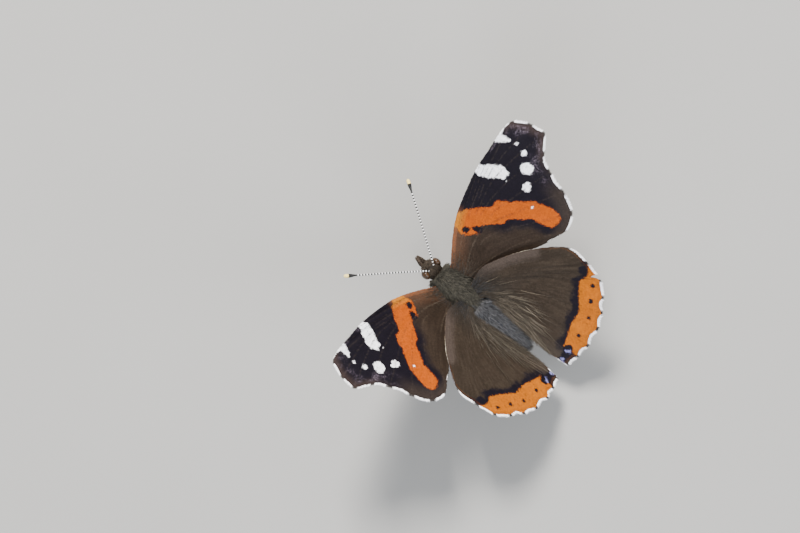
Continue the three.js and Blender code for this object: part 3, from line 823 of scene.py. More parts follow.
class WingPaint(Paint):
    """The powdery paint of a pair of wings. Its masks go by distances in millimetres."""

    def __init__(self, name, hind):
        super().__init__(name, roughness=0.6, specular=0.14)
        self.hind = hind
        self.wobble = self.wave(1500.0, 0.65, 0.55)
        self.smoky = self.noise(260.0, 3.0)
        self.streak = self.mask(self.streaks(5.0, 0.22), 0.36, 0.68)

    def wave(self, scale, rough, height):
        """Noise around zero, to make an edge uneven."""
        return self.product(self.number("SUBTRACT", self.noise(scale, 3.0, rough), 0.5), height)

    def uneven(self, field, amount=1.0):
        """A distance with a small wobble."""
        return self.number("ADD", field, self.product(self.wobble, amount))

    def streaks(self, wide, long):
        """Noise drawn out along the wing's own lines."""
        spot = self.node("CombineXYZ")
        self.plug(self.product("lane", wide), spot.inputs["X"])
        self.plug(self.product("root", long), spot.inputs["Y"])
        return self.noise(1.0, 3.0, 0.6, spot.outputs["Vector"])

    def hind_top(self, dark):
        """Brown, with an orange border, its black spots, and lilac at the inner corner."""
        ground = self.mix(self.smoky, HIND_BROWNS[0], HIND_BROWNS[1])
        ground = self.over(ground, self.streak, HIND_BROWNS[2], 0.65)
        border = self.number("ADD", "band", self.wave(520.0, 0.6, 3.2))
        ground = self.over(ground, self.mask(border, -1.7, -0.7), dark)
        ground = self.over(ground, self.fade("root", 3.0, 8.0, 0.75), HIND_ROOT)
        # Pale band along the hindwing's front edge: its own paler colour there, plus a painted highlight where the
        # raised edge catches the light
        pale = self.product(self.fade(self.uneven("front", 3.0), 0.4, 2.2), self.mask("root", 1.0, 8.0))
        ground = self.over(ground, pale, HIND_FRONT_PALE_AND_HIGHLIGHT, 0.6)
        ground = self.over(ground, self.fade("back", 0.2, 3.2), HIND_BACK, 0.6)
        glow = self.mix(self.smoky, *HIND_ORANGE)
        glow = self.over(glow, self.mask("vein", 0.75, 1.0), HIND_ORANGE_VEIN, 0.35)
        bright = self.product(
            self.mask(self.uneven("band"), -0.12, 0.12), self.mask("back", 1.2, 2.0), self.mask("rim", 0.05, 0.22))
        top = self.over(ground, bright, glow)
        top = self.over(top, self.mask(self.uneven("spots", 0.6), -0.08, 0.1), dark)
        top = self.over(top, self.mask(self.uneven("anal"), -0.08, 0.12), dark)
        top = self.over(top, self.mask(self.uneven("lilac"), -0.08, 0.1), LILAC)
        line = self.product(self.mask("rim", 0.42, 0.62), self.mask("rim", 0.9, 0.7))
        return self.over(top, line, HIND_RIM_LINE, 0.3)

    def fore_top(self, dark, orange, white):
        """Blackish, with an orange band, white spots, and rust along the front edge."""
        ground = self.mix(self.smoky, FORE_BROWNS[0], FORE_BROWNS[1])
        ground = self.over(ground, self.streak, FORE_BROWNS[2], 0.5)
        border = self.product(self.mask(self.uneven("band", 2.0), -2.4, -0.6), self.mask("root", 9.5, 14.5))
        ground = self.over(ground, border, dark)
        ground = self.over(ground, self.mask("beyond", -0.5, 0.1), dark)
        cell = self.product(self.fade("front", 0.4, 3.6), self.fade("root", 7.5, 10.5))
        ground = self.over(ground, cell, CELL_RUST, 0.75)
        edge = self.product(self.fade("front", 0.3, 0.75), self.fade("root", 10.5, 13.5))
        ground = self.over(ground, edge, FRONT_RUST)
        dust = self.product(
            self.mask("rim", 0.4, 1.2), self.mask("rim", 3.8, 1.4), self.mask("root", 18.0, 24.0),
            self.mask("lane", 8.8, 7.6), self.mask(self.noise(420.0, 4.0, 0.65), 0.44, 0.66),
            self.mask(self.noise(3800.0, 2.0, 0.6), 0.42, 0.6))
        ground = self.over(ground, dust, TIP_DUST, 0.65)
        earth = self.product(self.mask("rim", 2.4, 0.4), self.mask("root", 26.0, 30.5))
        ground = self.over(ground, earth, TIP_EARTH, 0.35)
        corner = self.product(self.mask("rim", 4.0, 1.0), self.mask("lane", 8.0, 9.2))
        ground = self.over(ground, corner, CORNER_BROWN, 0.6)
        glow = self.over(orange, self.smoky, BAND_GLOW, 0.6)
        glow = self.over(glow, self.fade("front", 0.35, 1.7), BAND_YELLOW, 0.8)
        glow = self.over(glow, self.mask("vein", 0.7, 1.0), BAND_VEIN, 0.45)
        top = self.over(ground, self.mask(self.uneven("band"), -0.12, 0.14), glow)
        top = self.over(top, self.mask(self.uneven("ink", 0.7), -0.08, 0.1), dark)
        top = self.over(top, self.mask(self.uneven("dot", 0.4), -0.06, 0.08), white)
        crossing = self.outside(self.mask("vein_gap", 0.04, 0.13))
        crossing = self.product(crossing, self.mask("root", 23.5, 21.5), 0.6)
        spots = self.mask(self.uneven("white", 0.6), -0.08, 0.08)
        return self.over(top, self.product(spots, self.outside(crossing)), white)

    def marbled_under(self):
        """The under side: marbled brown, with eye spots behind and a red band and blue in front."""
        marble = self.mix(self.mask(self.noise(420.0, 5.0, 0.7), 0.38, 0.62), MARBLE[0], MARBLE[1])
        marble = self.over(marble, self.mask(self.noise(900.0, 4.0, 0.6), 0.6, 0.72), MARBLE[2])
        if self.hind:
            patch = self.product(self.fade("front", 0.5, 2.5), self.mask("root", 10.0, 13.0))
            bottom = self.over(marble, patch, UNDER_PATCH)
            bottom = self.over(bottom, self.fade("rim", 0.3, 1.1, 0.7), UNDER_RIM)
            bottom = self.over(bottom, self.mask("spots", -0.5, -0.1), UNDER_EYE[0])
            bottom = self.over(bottom, self.mask("spots", -0.1, 0.15), UNDER_EYE[1])
        else:
            bottom = self.over(marble, self.mask("rim", 2.5, 5.5), UNDER_DARK)
            blue = self.product(self.mask(self.noise(520.0), 0.56, 0.64), self.mask("root", 8.0, 10.0))
            bottom = self.over(bottom, blue, UNDER_BLUE, 0.5)
            bottom = self.over(bottom, self.mask(self.uneven("band"), -0.2, 0.2), UNDER_BAND)
            bottom = self.over(bottom, self.mask("white", -0.1, 0.15), UNDER_WHITE)
        return self.over(bottom, self.mask("vein", 0.4, 0.9), UNDER_VEIN, 0.5)


def wing_material(name, hind):
    """Powdery upper side with the bands and spots, and a marbled under side."""
    choice = settings().wings
    dark, white = tuple(choice.dark), tuple(choice.white)
    paint = WingPaint(name, hind)
    if hind:
        top, vein, strength = paint.hind_top(dark), tuple(choice.brown), 0.22
    else:
        top, vein, strength = paint.fore_top(dark, tuple(choice.orange), white), FORE_VEIN, 0.5
    veined = paint.product(paint.mask("vein", 0.45, 0.95), paint.mask("root", 12.0, 5.0, 0.15, strength))
    both_sides = paint.mix("under", paint.over(top, veined, vein), paint.marbled_under())
    return paint.finish(paint.powder(both_sides, 6500.0, 0.55, relief=0.00002))


def wing_sheet(name, wing, material):
    """A thin closed sheet: a grid, its copy turned over, and their rims bridged."""
    columns, rows = wing.x.shape
    shape = bmesh.new()
    bmesh.ops.create_grid(shape, x_segments=columns - 1, y_segments=rows - 1, size=0.5)
    copy = bmesh.ops.duplicate(shape, geom=shape.verts[:] + shape.edges[:] + shape.faces[:])
    below = [item for item in copy["geom"] if isinstance(item, bmesh.types.BMVert)]
    turned = [item for item in copy["geom"] if isinstance(item, bmesh.types.BMFace)]
    bmesh.ops.translate(shape, verts=below, vec=(0.0, 0.0, -1.0))
    bmesh.ops.reverse_faces(shape, faces=turned)
    rims = [edge for edge in shape.edges if edge.is_boundary]
    bmesh.ops.bridge_loops(shape, edges=rims)
    if wing.side > 0:
        bmesh.ops.reverse_faces(shape, faces=shape.faces[:])
    mesh = mesh_from(name, shape)
    flat = get_places(mesh)
    column = np.rint((flat[:, 0] + 0.5) * (columns - 1)).astype(int)
    row = np.rint((flat[:, 1] + 0.5) * (rows - 1)).astype(int)
    under = flat[:, 2] < -0.5
    set_places(mesh, np.where(under[:, None], wing.lower[column, row], wing.upper[column, row]))
    add_fields(mesh, {field: values[column, row] for field, values in wing.fields.items()})
    add_fields(mesh, {"under": under, "tone": np.full(len(flat), 0.5)})
    piece = new_object(name, mesh, material)
    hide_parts(name.replace("_sheet", ""))


# Corners of a wing scale, across and along it, and the two faces of one side or the other
SCALE_OUTLINE = np.array([(-0.28, 0.0), (0.28, 0.0), (-0.5, 0.55), (0.5, 0.55), (-0.3, 1.0), (0.3, 1.0)])
SCALE_FACES = {False: ([0, 1, 3, 2], [2, 3, 5, 4]), True: ([0, 2, 3, 1], [2, 4, 5, 3])}
SCALE_SPACING = 0.62
FIRST_SCALE_ROW = 3


def wing_scales(name, wing, under, material, seed):
    """Rows of small overlapping plates on one face of a wing."""
    draw = np.random.default_rng(seed)
    size = settings().wings.scale_size * MM
    spacing = size * SCALE_SPACING
    face = wing.lower if under else wing.upper
    columns_at, rows_at = [], []
    for row in range(FIRST_SCALE_ROW, wing.rows):
        far = travelled(face[:, row])
        count = int(far[-1] / spacing)
        spots = (np.arange(count) + 0.5 * (row % 2) + draw.uniform(-0.25, 0.25, count)) * spacing
        columns_at.append(np.interp(spots, far, np.arange(len(far))))
        rows_at.append(row + draw.uniform(-0.3, 0.3, count))
    column = np.concatenate(columns_at)
    row = np.concatenate(rows_at)
    ahead = wing.sample(face, column, row + 2.5) - wing.sample(face, column, row - 2.5)
    across = wing.sample(face, column + 0.5, row) - wing.sample(face, column - 0.5, row)
    keep = (np.linalg.norm(ahead, axis=1) > 1e-6) & (np.linalg.norm(across, axis=1) > 1e-7)
    keep &= wing.sample(wing.to_rim, column, row) > draw.uniform(0.3, 0.45, len(row))
    column, row, ahead = column[keep], row[keep], unit(ahead[keep])
    root = wing.sample(face, column, row)
    count = len(row)
    normal = wing.normal * (-1.0 if under else 1.0)
    normal = unit(normal - ahead * (ahead @ normal)[:, None])
    across = np.cross(ahead, normal)
    ahead = ahead + across * draw.uniform(-0.22, 0.22, count)[:, None]
    long = size * draw.uniform(0.8, 1.15, count)
    wide = size * 0.75 * draw.uniform(0.85, 1.1, count)
    lift = draw.uniform(0.05, 0.12, count) * size
    corners = []
    for sideways, along in SCALE_OUTLINE:
        raised = (0.03 * size + lift * along)[:, None]
        corners.append(root + ahead * (along * long)[:, None] + across * (sideways * wide)[:, None] + normal * raised)
    corner_count = len(SCALE_OUTLINE)
    base = np.arange(count)[:, None] * corner_count
    faces = np.concatenate([base + np.array(quad) for quad in SCALE_FACES[under]])
    mesh = bpy.data.meshes.new(name)
    mesh.from_pydata(np.stack(corners, axis=1).reshape(-1, 3).tolist(), [], faces.tolist())
    uv = wing.unwrap(column, row)[:, None] + (SCALE_OUTLINE - [0.0, 0.5]) * PATCH
    add_patches(mesh, uv.reshape(-1, 2))
    fields = {field: wing.sample(values, column, row) for field, values in wing.fields.items()}
    fields["under"] = np.full(count, float(under))
    fields["tone"] = draw.uniform(0.2, 0.8, count)
    add_fields(mesh, fields, repeat=corner_count)
    new_object(name, mesh, material)


FRINGE_SPACING = 0.07 * MM
FRINGE_WIDTH = 0.07 * MM


def wing_fringe(name, wing, material, seed):
    """Short scales along the margin, pale between the veins and dark at their ends."""
    draw = np.random.default_rng(seed)
    far = travelled(wing.middle[:, -1])
    count = int(far[-1] / FRINGE_SPACING)
    at = (np.arange(count) + draw.uniform(-0.3, 0.3, count)) * FRINGE_SPACING
    column = np.interp(at, far, np.arange(len(far)))
    column = column[~wing.torn[np.rint(column).astype(int)]]
    count = len(column)
    last = np.full(count, float(wing.rows - 1))
    root = wing.sample(wing.middle, column, last + 0.6)
    ahead = unit(wing.sample(wing.middle, column, last + 0.99) - wing.sample(wing.middle, column, last - 2.0))
    ahead = ahead + np.cross(ahead, wing.normal) * draw.uniform(-0.12, 0.12, count)[:, None]
    lane = wing.sample(wing.fields["lane"], column, last)
    dark_end, pale_start = (0.12, 2.6) if wing.plan is FOREWING else (0.09, 0.6)
    nearness = np.abs(lane - np.rint(lane)) + draw.uniform(-0.04, 0.04, count)
    pale = smoothstep(dark_end, dark_end + 0.07, nearness)
    front = smoothstep(0.0, 0.8, lane - pale_start)
    fields = {"pale": pale * front, "tone": draw.uniform(0.2, 0.8, count)}
    lengths = draw.uniform(0.5, 0.7, count) * MM * (0.4 + 0.6 * front) * (0.72 + 0.28 * pale)
    tufts(
        name, root, ahead, np.broadcast_to(wing.normal, ahead.shape), lengths, np.full(count, FRINGE_WIDTH),
        wing.unwrap(column, last), fields, material, bend=0.05)


# Place along the body in millimetres, half width, top and bottom, from head to tail
BODY_STATIONS = np.array([
    (-6.95, 0.02, 0.02, 0.02), (-6.7, 0.75, 0.7, 0.7), (-6.2, 1.12, 1.0, 1.0), (-5.4, 1.2, 1.1, 1.1),
    (-4.8, 1.1, 1.0, 1.05), (-4.35, 1.0, 0.95, 1.0), (-3.9, 1.45, 1.35, 1.45), (-3.0, 2.0, 1.8, 1.9),
    (-1.5, 2.3, 2.0, 2.1), (0.2, 2.35, 2.0, 2.1), (2.0, 2.1, 1.85, 1.95), (3.2, 1.6, 1.5, 1.55),
    (3.9, 1.3, 1.2, 1.3), (4.8, 1.5, 1.3, 1.35), (6.5, 1.72, 1.48, 1.42), (9.0, 1.7, 1.42, 1.38),
    (11.5, 1.35, 1.15, 1.1), (13.4, 0.85, 0.75, 0.72), (14.5, 0.42, 0.36, 0.36), (14.85, 0.02, 0.02, 0.02),
])
WIDEST = 2.35
ABDOMEN_FRONT = 2.6
ABDOMEN_BACK = 15.1
ABDOMEN_DROP = 0.9
# Grooves between the abdomen's segments: where they start and end, their pitch, width and depth
SEGMENT_START = 4.9
SEGMENT_LENGTH = 1.38
GROOVES = (4.0, 14.2)
GROOVE_WIDTH = 0.13
GROOVE_DEPTH = 0.055


def body_point(share, angle, proud=0.0):
    """A point of the body's skin, from a share along it and an angle round it."""
    station = catmull(BODY_STATIONS, share)
    along = station[:, 0]
    drop = ABDOMEN_DROP * np.clip((along - ABDOMEN_FRONT) / (ABDOMEN_BACK - ABDOMEN_FRONT), 0, 1) ** 2
    segment = (along - SEGMENT_START) / SEGMENT_LENGTH
    groove = bell((segment - np.rint(segment)) * SEGMENT_LENGTH, 0.0, GROOVE_WIDTH)
    groove = np.where((along > GROOVES[0]) & (along < GROOVES[1]), groove, 0.0)
    scale = 1 - GROOVE_DEPTH * groove
    wide = station[:, 1] * scale + proud
    tall = np.where(np.sin(angle) > 0, station[:, 2], station[:, 3]) * scale + proud
    return np.stack([wide * np.cos(angle), along, tall * np.sin(angle) - drop], axis=1), along


def body_normal(share, angle):
    """The body's outward direction, and its direction towards the tail."""
    step = 0.002
    ahead = body_point(np.clip(share + step, 0, 1), angle)[0] - body_point(np.clip(share - step, 0, 1), angle)[0]
    around = body_point(share, angle + 0.02)[0] - body_point(share, angle - 0.02)[0]
    return unit(np.cross(ahead, around)), unit(ahead)


def body_material():
    """Dark skin of the thorax and slaty abdomen with paler hind edges to its segments."""
    paint = Paint("body_skin", roughness=0.7, specular=0.2)
    thorax = paint.mix(paint.noise(900.0, 4.0), (0.014, 0.012, 0.010), (0.04, 0.034, 0.026))
    slate = paint.mix(paint.noise(1200.0, 4.0), (0.025, 0.025, 0.030), (0.055, 0.055, 0.068))
    segment = paint.number("DIVIDE", paint.number("SUBTRACT", "along", SEGMENT_START), SEGMENT_LENGTH)
    ring = paint.mask(paint.number("FRACT", segment), 0.72, 0.92)
    slate = paint.over(slate, ring, (0.10, 0.10, 0.105), 0.5)
    shade = paint.over(thorax, paint.mask("along", 3.4, 4.6), slate)
    return paint.finish(paint.powder(shade, 5000.0, 0.6, relief=0.00005, strength=0.7))


def body_skin():
    """One closed skin over head, thorax and abdomen, from a drawn-out ball."""
    mesh, ball = unit_ball("body_skin", 72, 300)
    share = 1 - np.arccos(np.clip(ball[:, 2], -1, 1)) / math.pi
    places, along = body_point(share, np.arctan2(ball[:, 1], ball[:, 0]))
    pole = np.hypot(ball[:, 0], ball[:, 1]) < 1e-5
    places[pole, 0] = 0.0
    set_places(mesh, to_world(places))
    add_fields(mesh, {"along": along, "tone": np.full(len(ball), 0.5)})
    face_outwards(mesh)
    piece = new_object("body_skin", mesh, body_material())
    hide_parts("head", "thorax", "abdomen")


def hair_material(name, low, high, tip, pale=None):
    """Silky hair: each tuft its own tone, paler towards the tip, and pale where it is marked so."""
    paint = Paint(name, roughness=0.6, specular=0.2)
    shade = paint.over(paint.mix("tone", low, high), paint.field("tip"), tip, 0.55)
    shade = paint.powder(shade, 3000.0, 0.5)
    return paint.finish(paint.mix("pale", shade, pale) if pale else shade)


def body_coat():
    """Hair over the whole body, lying towards the tail and longest on the thorax."""
    choice = settings().coat
    draw = np.random.default_rng(11)
    tries = choice.count * 3
    share = draw.uniform(0.03, 0.985, tries)
    angle = draw.uniform(-math.pi, math.pi, tries)
    station = catmull(BODY_STATIONS, share)
    girth = station[:, 1] / WIDEST
    keep = draw.uniform(0, 1, tries) < girth * np.where(station[:, 0] < -4.0, 1.8, 1.05)
    share, angle = share[keep][:choice.count], angle[keep][:choice.count]
    root, along = body_point(share, angle, -0.03)
    normal, ahead = body_normal(share, angle)
    count = len(share)

    # Parts of the body, each from 0 to 1
    thorax = smoothstep(-4.3, -3.6, along) * (1 - smoothstep(2.6, 4.2, along))
    head = 1 - smoothstep(-4.8, -4.2, along)
    abdomen = 1 - thorax - head
    waist, neck = bell(along, 3.9, 1.0), bell(along, -4.3, 0.7)
    beside = np.abs(normal[:, 0])
    by_wings = beside * bell(along, -0.2, 1.3)

    lengths = thorax * choice.length * (0.62 + 0.45 * beside) + head * 0.6 + abdomen * (1.2 + 0.35 * beside)
    lengths = (lengths + 0.8 * waist + 0.15 * neck + 1.1 * by_wings) * draw.uniform(0.6, 1.1, count)
    lift = 0.24 + 0.35 * head + abdomen * (0.12 + 0.45 * beside) + 0.2 * waist + 0.1 * neck
    lie = ahead * np.where(along < -5.9, -0.3, 1.0)[:, None] + normal * lift[:, None]
    lie[:, 0] += np.clip(root[:, 0] / 2.0, -1, 1) * 0.3 * thorax
    lie = lie + draw.normal(0, 0.14, root.shape)
    widths = (0.045 + 0.02 * thorax) * draw.uniform(0.7, 1.2, count)
    unwrap = np.stack([angle / (2 * math.pi) + 0.5, share], axis=1) * 0.98 + 0.01
    mixed = thorax + draw.uniform(-0.45, 0.45, count)
    facing = normal[:, 2] + draw.uniform(-0.3, 0.3, count)
    tone = draw.uniform(0, 1, count)

    on_head = head > 0.5
    on_abdomen = (mixed <= 0.5) & ~on_head & (along >= 0)
    below = on_abdomen & (facing <= -0.25)
    black, grey = (0.009, 0.008, 0.006), (0.052, 0.047, 0.036)
    for name, pick, tints, slot in (
        ("thorax", ~on_head & ~on_abdomen, (black, grey, tuple(choice.grey)), "thorax_hair"),
        ("head", on_head, (black, (0.050, 0.036, 0.025), (0.062, 0.047, 0.034)), "head_hair"),
        (
            "abdomen", on_abdomen & ~below,
            ((0.012, 0.012, 0.012), (0.082, 0.082, 0.088), (0.110, 0.110, 0.118)), "abdomen_hair",
        ),
        ("belly", below, ((0.022, 0.018, 0.014), (0.115, 0.095, 0.070), (0.14, 0.12, 0.09)), "abdomen_hair"),
    ):
        tufts(
            "coat_" + name, to_world(root[pick]), lie[pick] @ TURN.T, normal[pick] @ TURN.T, lengths[pick] * MM,
            widths[pick] * MM, unwrap[pick], {"tone": tone[pick]}, hair_material(name + "_hair", *tints))


class WingHair(NamedTuple):
    """One kind of hair on the wings; all measures are in millimetres, row is a share."""

    start: str
    material: str
    count: int
    reach: float
    lengths: tuple
    seed: int
    row: float = 0.02
    strip: float = 0.0
    thick: tuple = (0.013, 0.028)
    lift: float = 0.13


WING_HAIRS = {
    "forewing": (
        WingHair("hair_", "wing_hair", 1000, 6.0, (0.6, 1.3), 400),
        WingHair("base_", "base_hair", 700, 3.4, (0.6, 1.2), 700),
    ),
    "hindwing": (
        WingHair("hair_", "wing_hair", 2400, 14.0, (0.9, 2.2), 400, strip=7.0),
        WingHair("strands_", "wing_strand", 300, 17.0, (3.0, 6.0), 600, 0.12, 5.6, (0.02, 0.034), 0.05),
        WingHair("base_", "base_hair", 1100, 4.2, (0.7, 1.5), 700),
    ),
}
WING_HAIR_TINTS = {
    "wing_hair": ((0.010, 0.0075, 0.0055), (0.085, 0.067, 0.049), (0.075, 0.060, 0.045)),
    "base_hair": ((0.009, 0.009, 0.009), (0.050, 0.050, 0.052), (0.055, 0.055, 0.058)),
    "wing_strand": ((0.045, 0.036, 0.026), (0.19, 0.16, 0.12), (0.12, 0.10, 0.076)),
}


def wing_hair(name, wing, kind, material, seed):
    """Hairs on the upper face, thickest at the root or in a strip along the back edge."""
    draw = np.random.default_rng(seed)
    tries = kind.count * 4
    column = draw.uniform(0, len(wing.u) - 1, tries)
    row = draw.uniform(kind.row, 1.0, tries) * wing.rows
    chance = 1 - smoothstep(kind.reach * 0.3, kind.reach, wing.sample(wing.from_root, column, row))
    if kind.strip:
        across = wing.u[np.clip(column.astype(int), 0, len(wing.u) - 1)] / wing.u[-1]
        edge = smoothstep(kind.strip * 0.4, kind.strip, wing.sample(wing.from_back, column, row))
        chance = chance * (1 - 0.96 * edge) * (0.03 + 0.97 * smoothstep(0.5, 0.82, across))
    keep = draw.uniform(0, 1, tries) < chance
    column, row = column[keep][:kind.count], row[keep][:kind.count]
    count = len(row)
    ahead = wing.run(column, row)
    sideways = np.cross(ahead, wing.normal) * draw.normal(0, 0.13, count)[:, None]
    ahead = ahead + sideways + wing.normal * draw.uniform(0.02, kind.lift, count)[:, None]
    long = draw.uniform(*kind.lengths, count) * MM
    wide = draw.uniform(*kind.thick, count) * MM
    fields = {"tone": draw.beta(1.3, 2.6, count)}
    normal = np.broadcast_to(wing.normal, ahead.shape)
    root = wing.sample(wing.upper, column, row)
    tufts(name, root, ahead, normal, long, wide, wing.unwrap(column, row), fields, material, bend=0.15)


def inner_hair(name, wing, material, seed, count=1500):
    """A fringe of long hair from the hindwing's inner edge, over the side of the abdomen."""
    draw = np.random.default_rng(seed)
    row = draw.uniform(0.12, 0.9, count) * wing.rows
    column = len(wing.u) - 1 - draw.uniform(0.0, 7.0, count)
    inward = TURN @ np.array([-wing.side, 0.0, -0.35])
    lie = wing.run(column, row) + inward * draw.uniform(0.05, 0.55, count)[:, None]
    fields = {"tone": draw.uniform(0, 1, count)}
    long = draw.uniform(1.0, 2.2, count) * MM * (1 - 0.5 * smoothstep(0.6, 0.9, row / wing.rows))
    wide = draw.uniform(0.018, 0.035, count) * MM
    normal = np.broadcast_to(wing.normal, lie.shape)
    root = wing.sample(wing.upper, column, row)
    tufts(name, root, lie, normal, long, wide, wing.unwrap(column, row), fields, material, bend=0.1)


def wing_coats():
    """Hair on all four wings."""
    materials = {name: hair_material(name, *tints) for name, tints in WING_HAIR_TINTS.items()}
    for seed, (name, wing) in enumerate(WINGS.items()):
        pair = name.split("_")[0]
        for kind in WING_HAIRS[pair]:
            if kind.start == "base_" and pair == "hindwing":
                inner_hair("hair_inner_" + name, wing, materials["wing_hair"], 500 + seed)
            wing_hair(kind.start + name, wing, kind, materials[kind.material], kind.seed + seed)


def eye_material():
    """Brown eyes, mottled and finely facetted."""
    paint = Paint("eye_facets", roughness=0.33, specular=0.35)
    facets = paint.node("TexVoronoi")
    paint.plug(paint.place(), facets.inputs["Vector"])
    facets.inputs["Scale"].default_value = 21000.0
    shade = paint.mix(paint.noise(900.0, 3.0), (0.016, 0.007, 0.003), (0.060, 0.028, 0.009))
    shade = paint.over(shade, paint.mask(paint.noise(1400.0), 0.58, 0.68), (0.008, 0.004, 0.002))
    paint.bump(paint.outside(facets.outputs["Distance"]), 0.00001, 0.6)
    return paint.finish(shade)


EYE_RADII = (0.62, 0.86, 1.05)


def make_eyes():
    """The two eyes, as flattened balls on the sides of the head."""
    material = eye_material()
    for name, side in SIDES:
        shape = bmesh.new()
        bmesh.ops.create_uvsphere(shape, u_segments=64, v_segments=48, radius=1.0)
        bmesh.ops.scale(shape, verts=shape.verts[:], vec=EYE_RADII)
        bmesh.ops.translate(shape, verts=shape.verts[:], vec=(EYE_PLACE[0] * side, EYE_PLACE[1], EYE_PLACE[2]))
        mesh = mesh_from("eye_dome_" + name, shape)
        set_places(mesh, to_world(get_places(mesh)))
        piece = new_object("eye_dome_" + name, mesh, material)
        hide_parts("eye_" + name)


def rod_piece(name, path, radii, sides, material, world=False):
    """A round rod along a path of trunk millimetres, or of the frame's metres."""
    mesh, places, along, whole = drawn_out(name, path, radii, sides)
    set_places(mesh, places if world else to_world(places))
    add_fields(mesh, {"along": along, "share": along / whole, "tone": np.full(len(along), 0.5)})
    face_outwards(mesh)
    return new_object(name, mesh, material)


ANTENNA_ROOT = np.array([0.55, -5.75, 0.8])
ANTENNA_TIPS = {"left": np.array([10.7, -16.5, 3.9]), "right": np.array([8.9, -18.1, 3.9])}
ANTENNA_BOW = 0.35
ANTENNA_LENGTH = 13.5
ANTENNA_JOINT = 0.52
ANTENNA_RADIUS = 0.15
CLUB_SWELL = 0.17
CLUB_START = 0.86


def antenna_material():
    """Black with white rings, and a club that ends in yellow."""
    paint = Paint("antenna_scales", roughness=0.5, specular=0.35)
    cycle = paint.number("FRACT", paint.number("DIVIDE", "along", ANTENNA_JOINT))
    ring = paint.product(
        paint.mask(cycle, 0.02, 0.08), paint.mask(cycle, 0.52, 0.44),
        paint.mask("share", CLUB_START, CLUB_START - 0.02, 0.0, 0.85))
    shade = paint.mix(ring, (0.006, 0.006, 0.006), (0.85, 0.84, 0.84))
    shade = paint.over(shade, paint.mask("share", 0.943, 0.95), (0.80, 0.62, 0.22))
    return paint.finish(paint.powder(shade, 9000.0, 0.35, relief=0.00001, strength=0.6))


def make_antennae():
    """Two jointed antennae with clubs."""
    material = antenna_material()
    share = np.linspace(0, 1, 420)
    joint = 1 - 0.10 * bell((share * ANTENNA_LENGTH / ANTENNA_JOINT) % 1.0, 0.0, 0.12)
    round_end = np.maximum(np.sqrt(np.clip((1 - share) / 0.02, 0, 1)), 0.12)
    radii = ANTENNA_RADIUS + CLUB_SWELL * smoothstep(CLUB_START, 0.93, share)
    radii = radii * np.where(share > 0.88, 1.0, joint) * round_end
    for name, side in SIDES:
        tip = ANTENNA_TIPS[name]
        middle = ANTENNA_ROOT + (tip - ANTENNA_ROOT) * 0.45 + [0.0, 0.0, ANTENNA_BOW]
        path = even_curve([ANTENNA_ROOT, middle, tip], share) * [side, 1, 1]
        piece = rod_piece("feeler_" + name, path, radii, 16, material)
        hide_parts("antenna_" + name)


PALP_LINE = np.array([(0.46, -6.3, -0.75), (0.42, -7.2, -0.75), (0.3, -8.0, -0.35), (0.2, -8.65, 0.05)])
PALP_RADIUS = 0.27
PALP_HAIRS = 1100
# The proboscis: centre of its coil behind the head's front and below it, turns, and radii
COIL_CENTRE = (-6.3, -1.75)
COIL_START = 0.6 * math.pi
COIL_TURNS = 2.6
COIL_RADIUS = 0.75
COIL_SHRINK = 0.55
STEM_ROOT = (-6.2, -0.8)
STEM_RINGS = 20
COIL_RINGS = 200


def make_palps():
    """Two hairy palps in front of the head."""
    hair = hair_material("palp_hair", (0.012, 0.008, 0.006), (0.060, 0.042, 0.030), (0.085, 0.064, 0.048))
    draw = np.random.default_rng(31)
    share = np.linspace(0, 1, 60)
    radii = PALP_RADIUS * np.sqrt(np.clip(1 - (share - 0.45) ** 2 * 3.0, 0.05, 1))
    for name, side in SIDES:
        line = PALP_LINE * [side, 1, 1]
        piece = rod_piece("palp_core_" + name, even_curve(line, share), radii, 16, hair)
        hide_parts("palp_" + name)
        at = draw.uniform(0.0, 0.97, PALP_HAIRS)
        turn = draw.uniform(-math.pi, math.pi, PALP_HAIRS)
        ahead = unit(even_curve(line, np.clip(at + 0.02, 0, 1)) - even_curve(line, np.clip(at - 0.02, 0, 1)))
        cross = unit(np.cross(ahead, [1.0, 0.0, 0.0]))
        normal = cross * np.cos(turn)[:, None] + np.cross(ahead, cross) * np.sin(turn)[:, None]
        root = even_curve(line, at) + normal * np.interp(at, share, radii)[:, None] * 0.9
        lie = ahead + normal * 0.3 + draw.normal(0, 0.08, ahead.shape) + [-0.25 * side, 0.0, 0.0]
        unwrap = np.stack([turn / (2 * math.pi) + 0.5, at], axis=1)
        lengths = draw.uniform(0.35, 0.6, PALP_HAIRS) * MM
        tufts(
            "coat_palp_" + name, to_world(root), lie @ TURN.T, normal @ TURN.T, lengths,
            np.full(PALP_HAIRS, 0.035 * MM), unwrap, {"tone": draw.uniform(0, 1, PALP_HAIRS)}, hair)


def make_proboscis():
    """The tongue, coiled under the head."""
    paint = Paint("proboscis_horn", roughness=0.35, specular=0.45)
    horn = paint.finish(paint.mix(paint.noise(4000.0, 3.0), (0.02, 0.012, 0.008), (0.09, 0.05, 0.025)))
    share = np.linspace(0, 1, COIL_RINGS)
    turn = share * COIL_TURNS * 2 * math.pi + COIL_START
    reach = COIL_RADIUS - COIL_SHRINK * share
    coil = np.stack([COIL_CENTRE[0] + reach * np.cos(turn), COIL_CENTRE[1] + reach * np.sin(turn)], axis=1)
    path = np.concatenate([np.linspace(STEM_ROOT, coil[0], STEM_RINGS)[:-1], coil])
    path = np.insert(path, 0, 0.0, axis=1)
    radii = np.interp(np.linspace(0, 1, len(path)), [0, 0.9, 1], [0.13, 0.08, 0.04])
    piece = rod_piece("proboscis_coil", path, radii, 12, horn)
    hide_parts("proboscis")


